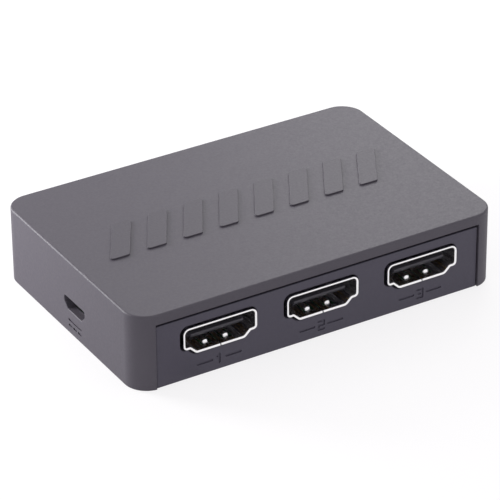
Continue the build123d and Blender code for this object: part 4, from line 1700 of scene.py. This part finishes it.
@dataclass
class Studio:
    """Pale floor, soft lamps and the camera at the photograph's viewing angle."""

    target: tuple[float, float, float] = (1.35, 2.04, 4.19)
    distance: float = 584.5
    yaw: float = 30.63
    pitch: float = 29.98
    roll: float = -0.51
    focal_pixels: float = 3180.97
    image_pixels: float = 500.0
    sensor: float = 36.0
    clip_end: float = 100.0
    ambient: float = 0.84
    white: str = "#FFFEFF"
    floor_size: float = 4000.0
    floor_drop: float = 0.02
    floor_colour: str = "#FDFCFE"
    floor_lift: float = 0.78
    lamps: ClassVar[tuple[Lamp, ...]] = (
        Lamp("rear_softbox", (250, 500, 620), 420, 0.36),
        Lamp("right_softbox", (150, 150, 130), 120, 0.18),
        Lamp("left_strip", (-130, 130, 55), 70, 0.43),
    )

    def camera(self) -> None:
        """Places the camera on the line that the photograph was taken along."""
        data = bpy.data.cameras.new("camera")
        data.sensor_width = self.sensor
        data.lens = self.focal_pixels / self.image_pixels * self.sensor
        data.clip_end = self.clip_end
        camera = bpy.data.objects.new("camera", data)
        bpy.context.scene.collection.objects.link(camera)
        turn = Matrix.Rotation(math.radians(-self.yaw), 4, "Z")
        turn @= Matrix.Rotation(math.radians(90 - self.pitch), 4, "X")
        turn @= Matrix.Rotation(math.radians(self.roll), 4, "Z")
        back = turn @ Vector((0, 0, self.distance))
        camera.matrix_world = Matrix.Translation((Vector(self.target) + back) * MM) @ turn
        bpy.context.scene.camera = camera

    def seen_directly(self, tree: Tree) -> Output:
        """Picks the rays that see the backdrop as it is: from the camera, from gloss and through glass.

        Args:
            tree: the node tree that asks.

        Returns:
            One for those rays and zero for the rest.
        """
        rays = add_node(tree, "ShaderNodeLightPath").outputs
        inputs = {0: rays["Is Camera Ray"], 1: rays["Is Glossy Ray"]}
        first = add_node(tree, "ShaderNodeMath", inputs, operation="ADD").outputs[0]
        inputs = {0: first, 1: rays["Is Transmission Ray"]}
        return add_node(tree, "ShaderNodeMath", inputs, operation="ADD", use_clamp=True).outputs[0]

    def world(self) -> None:
        """A white backdrop that lights the object only softly."""
        world = bpy.data.worlds.new("studio")
        bpy.context.scene.world = world
        world.use_nodes = True
        tree = world.node_tree
        tree.nodes.clear()
        soft, white = (
            add_node(tree, "ShaderNodeBackground", {"Color": linear(self.white), "Strength": strength})
            for strength in (self.ambient, 1.0)
        )
        inputs = {0: self.seen_directly(tree), 1: soft.outputs[0], 2: white.outputs[0]}
        mixed = add_node(tree, "ShaderNodeMixShader", inputs)
        add_node(tree, "ShaderNodeOutputWorld", {"Surface": mixed.outputs[0]})

    def floor_material(self) -> bpy.types.Material:
        """Pale paint that shows as white but keeps the object's shadow, clear from below.

        Returns:
            The material.
        """
        material, tree = new_tree("pale_studio_floor")
        paint = add_node(tree, "ShaderNodeBsdfDiffuse", {"Color": linear(self.floor_colour)})
        white = add_node(tree, "ShaderNodeEmission", {"Color": linear(self.white), "Strength": 1.0})
        camera_ray = add_node(tree, "ShaderNodeLightPath").outputs["Is Camera Ray"]
        inputs = {0: camera_ray, 1: 1 - self.floor_lift}
        shadow = add_node(tree, "ShaderNodeMath", inputs, operation="MULTIPLY")
        inputs = {0: self.seen_directly(tree), 1: shadow.outputs[0]}
        share = add_node(tree, "ShaderNodeMath", inputs, operation="SUBTRACT")
        inputs = {0: share.outputs[0], 1: paint.outputs[0], 2: white.outputs[0]}
        painted = add_node(tree, "ShaderNodeMixShader", inputs)
        under = add_node(tree, "ShaderNodeNewGeometry").outputs["Backfacing"]
        clear = add_node(tree, "ShaderNodeBsdfTransparent")
        inputs = {0: under, 1: painted.outputs[0], 2: clear.outputs[0]}
        mixed = add_node(tree, "ShaderNodeMixShader", inputs)
        add_node(tree, "ShaderNodeOutputMaterial", {"Surface": mixed.outputs[0]})
        return material

    def floor(self) -> None:
        """Lays the floor just under the object."""
        bm = bmesh.new()
        bmesh.ops.create_grid(bm, x_segments=1, y_segments=1, size=self.floor_size / 2 * MM)
        bmesh.ops.translate(bm, vec=(0, 0, -self.floor_drop * MM), verts=bm.verts)
        floor = as_object(bm, "studio_floor")
        floor.data.materials.append(self.floor_material())

    def build(self) -> None:
        """Sets up the camera, the backdrop, the floor and the lamps."""
        self.camera()
        self.world()
        self.floor()
        for lamp in self.lamps:
            lamp.hang(self.target)
        bpy.context.scene.view_settings.view_transform = "Standard"


def main() -> None:
    """Loads the frame and builds every sub-assembly."""
    logging.basicConfig(level=logging.INFO, format="%(message)s")
    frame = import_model()
    slots = {part["node"]: part["material_slot"] for part in frame["record"]["subparts"]}
    InnerParts(frame["nodes"]).dress(slots)

    Studio().build()
    case = Case.from_frame()
    Cover(case).build()

    shell_low = node_size("input_socket_1_shell")[0]
    mouth, leg_low = shell_low.y, shell_low.z - case.board_top
    input_places = [node_middle(f"input_socket_{i}_shell").x for i in (1, 2, 3)]
    sockets = [
        VideoSocket(f"input_socket_{i}", at(x, mouth, case.board_top), leg_low)
        for i, x in enumerate(input_places, 1)
    ]
    output_place = at(node_middle("output_socket_shell").x, -mouth, case.board_top) @ HALF_TURN
    sockets.append(VideoSocket("output_socket", output_place, leg_low))
    button_place = node_middle("select_button").x
    lights = [StatusLight(i, node_middle(f"status_light_{i}").x, case.port_middle) for i in (1, 2, 3)]
    Base(case, sockets[0], input_places, [light.place for light in lights], button_place).build()
    for socket in sockets:
        socket.build()
    power_mouth, power_middle = node_size("power_socket_shell")[0].x, node_middle("power_socket_shell").y
    power_place = at(power_mouth, power_middle, case.board_top) @ MOUTH_LEFT
    PowerSocket("power_socket", power_place, leg_low).build()
    SelectButton(button_place, case.port_middle).build()
    SwitchDome().build()
    for light in lights:
        light.build()
    CaseScrews(case).build()


if __name__ == "__main__":
    main()
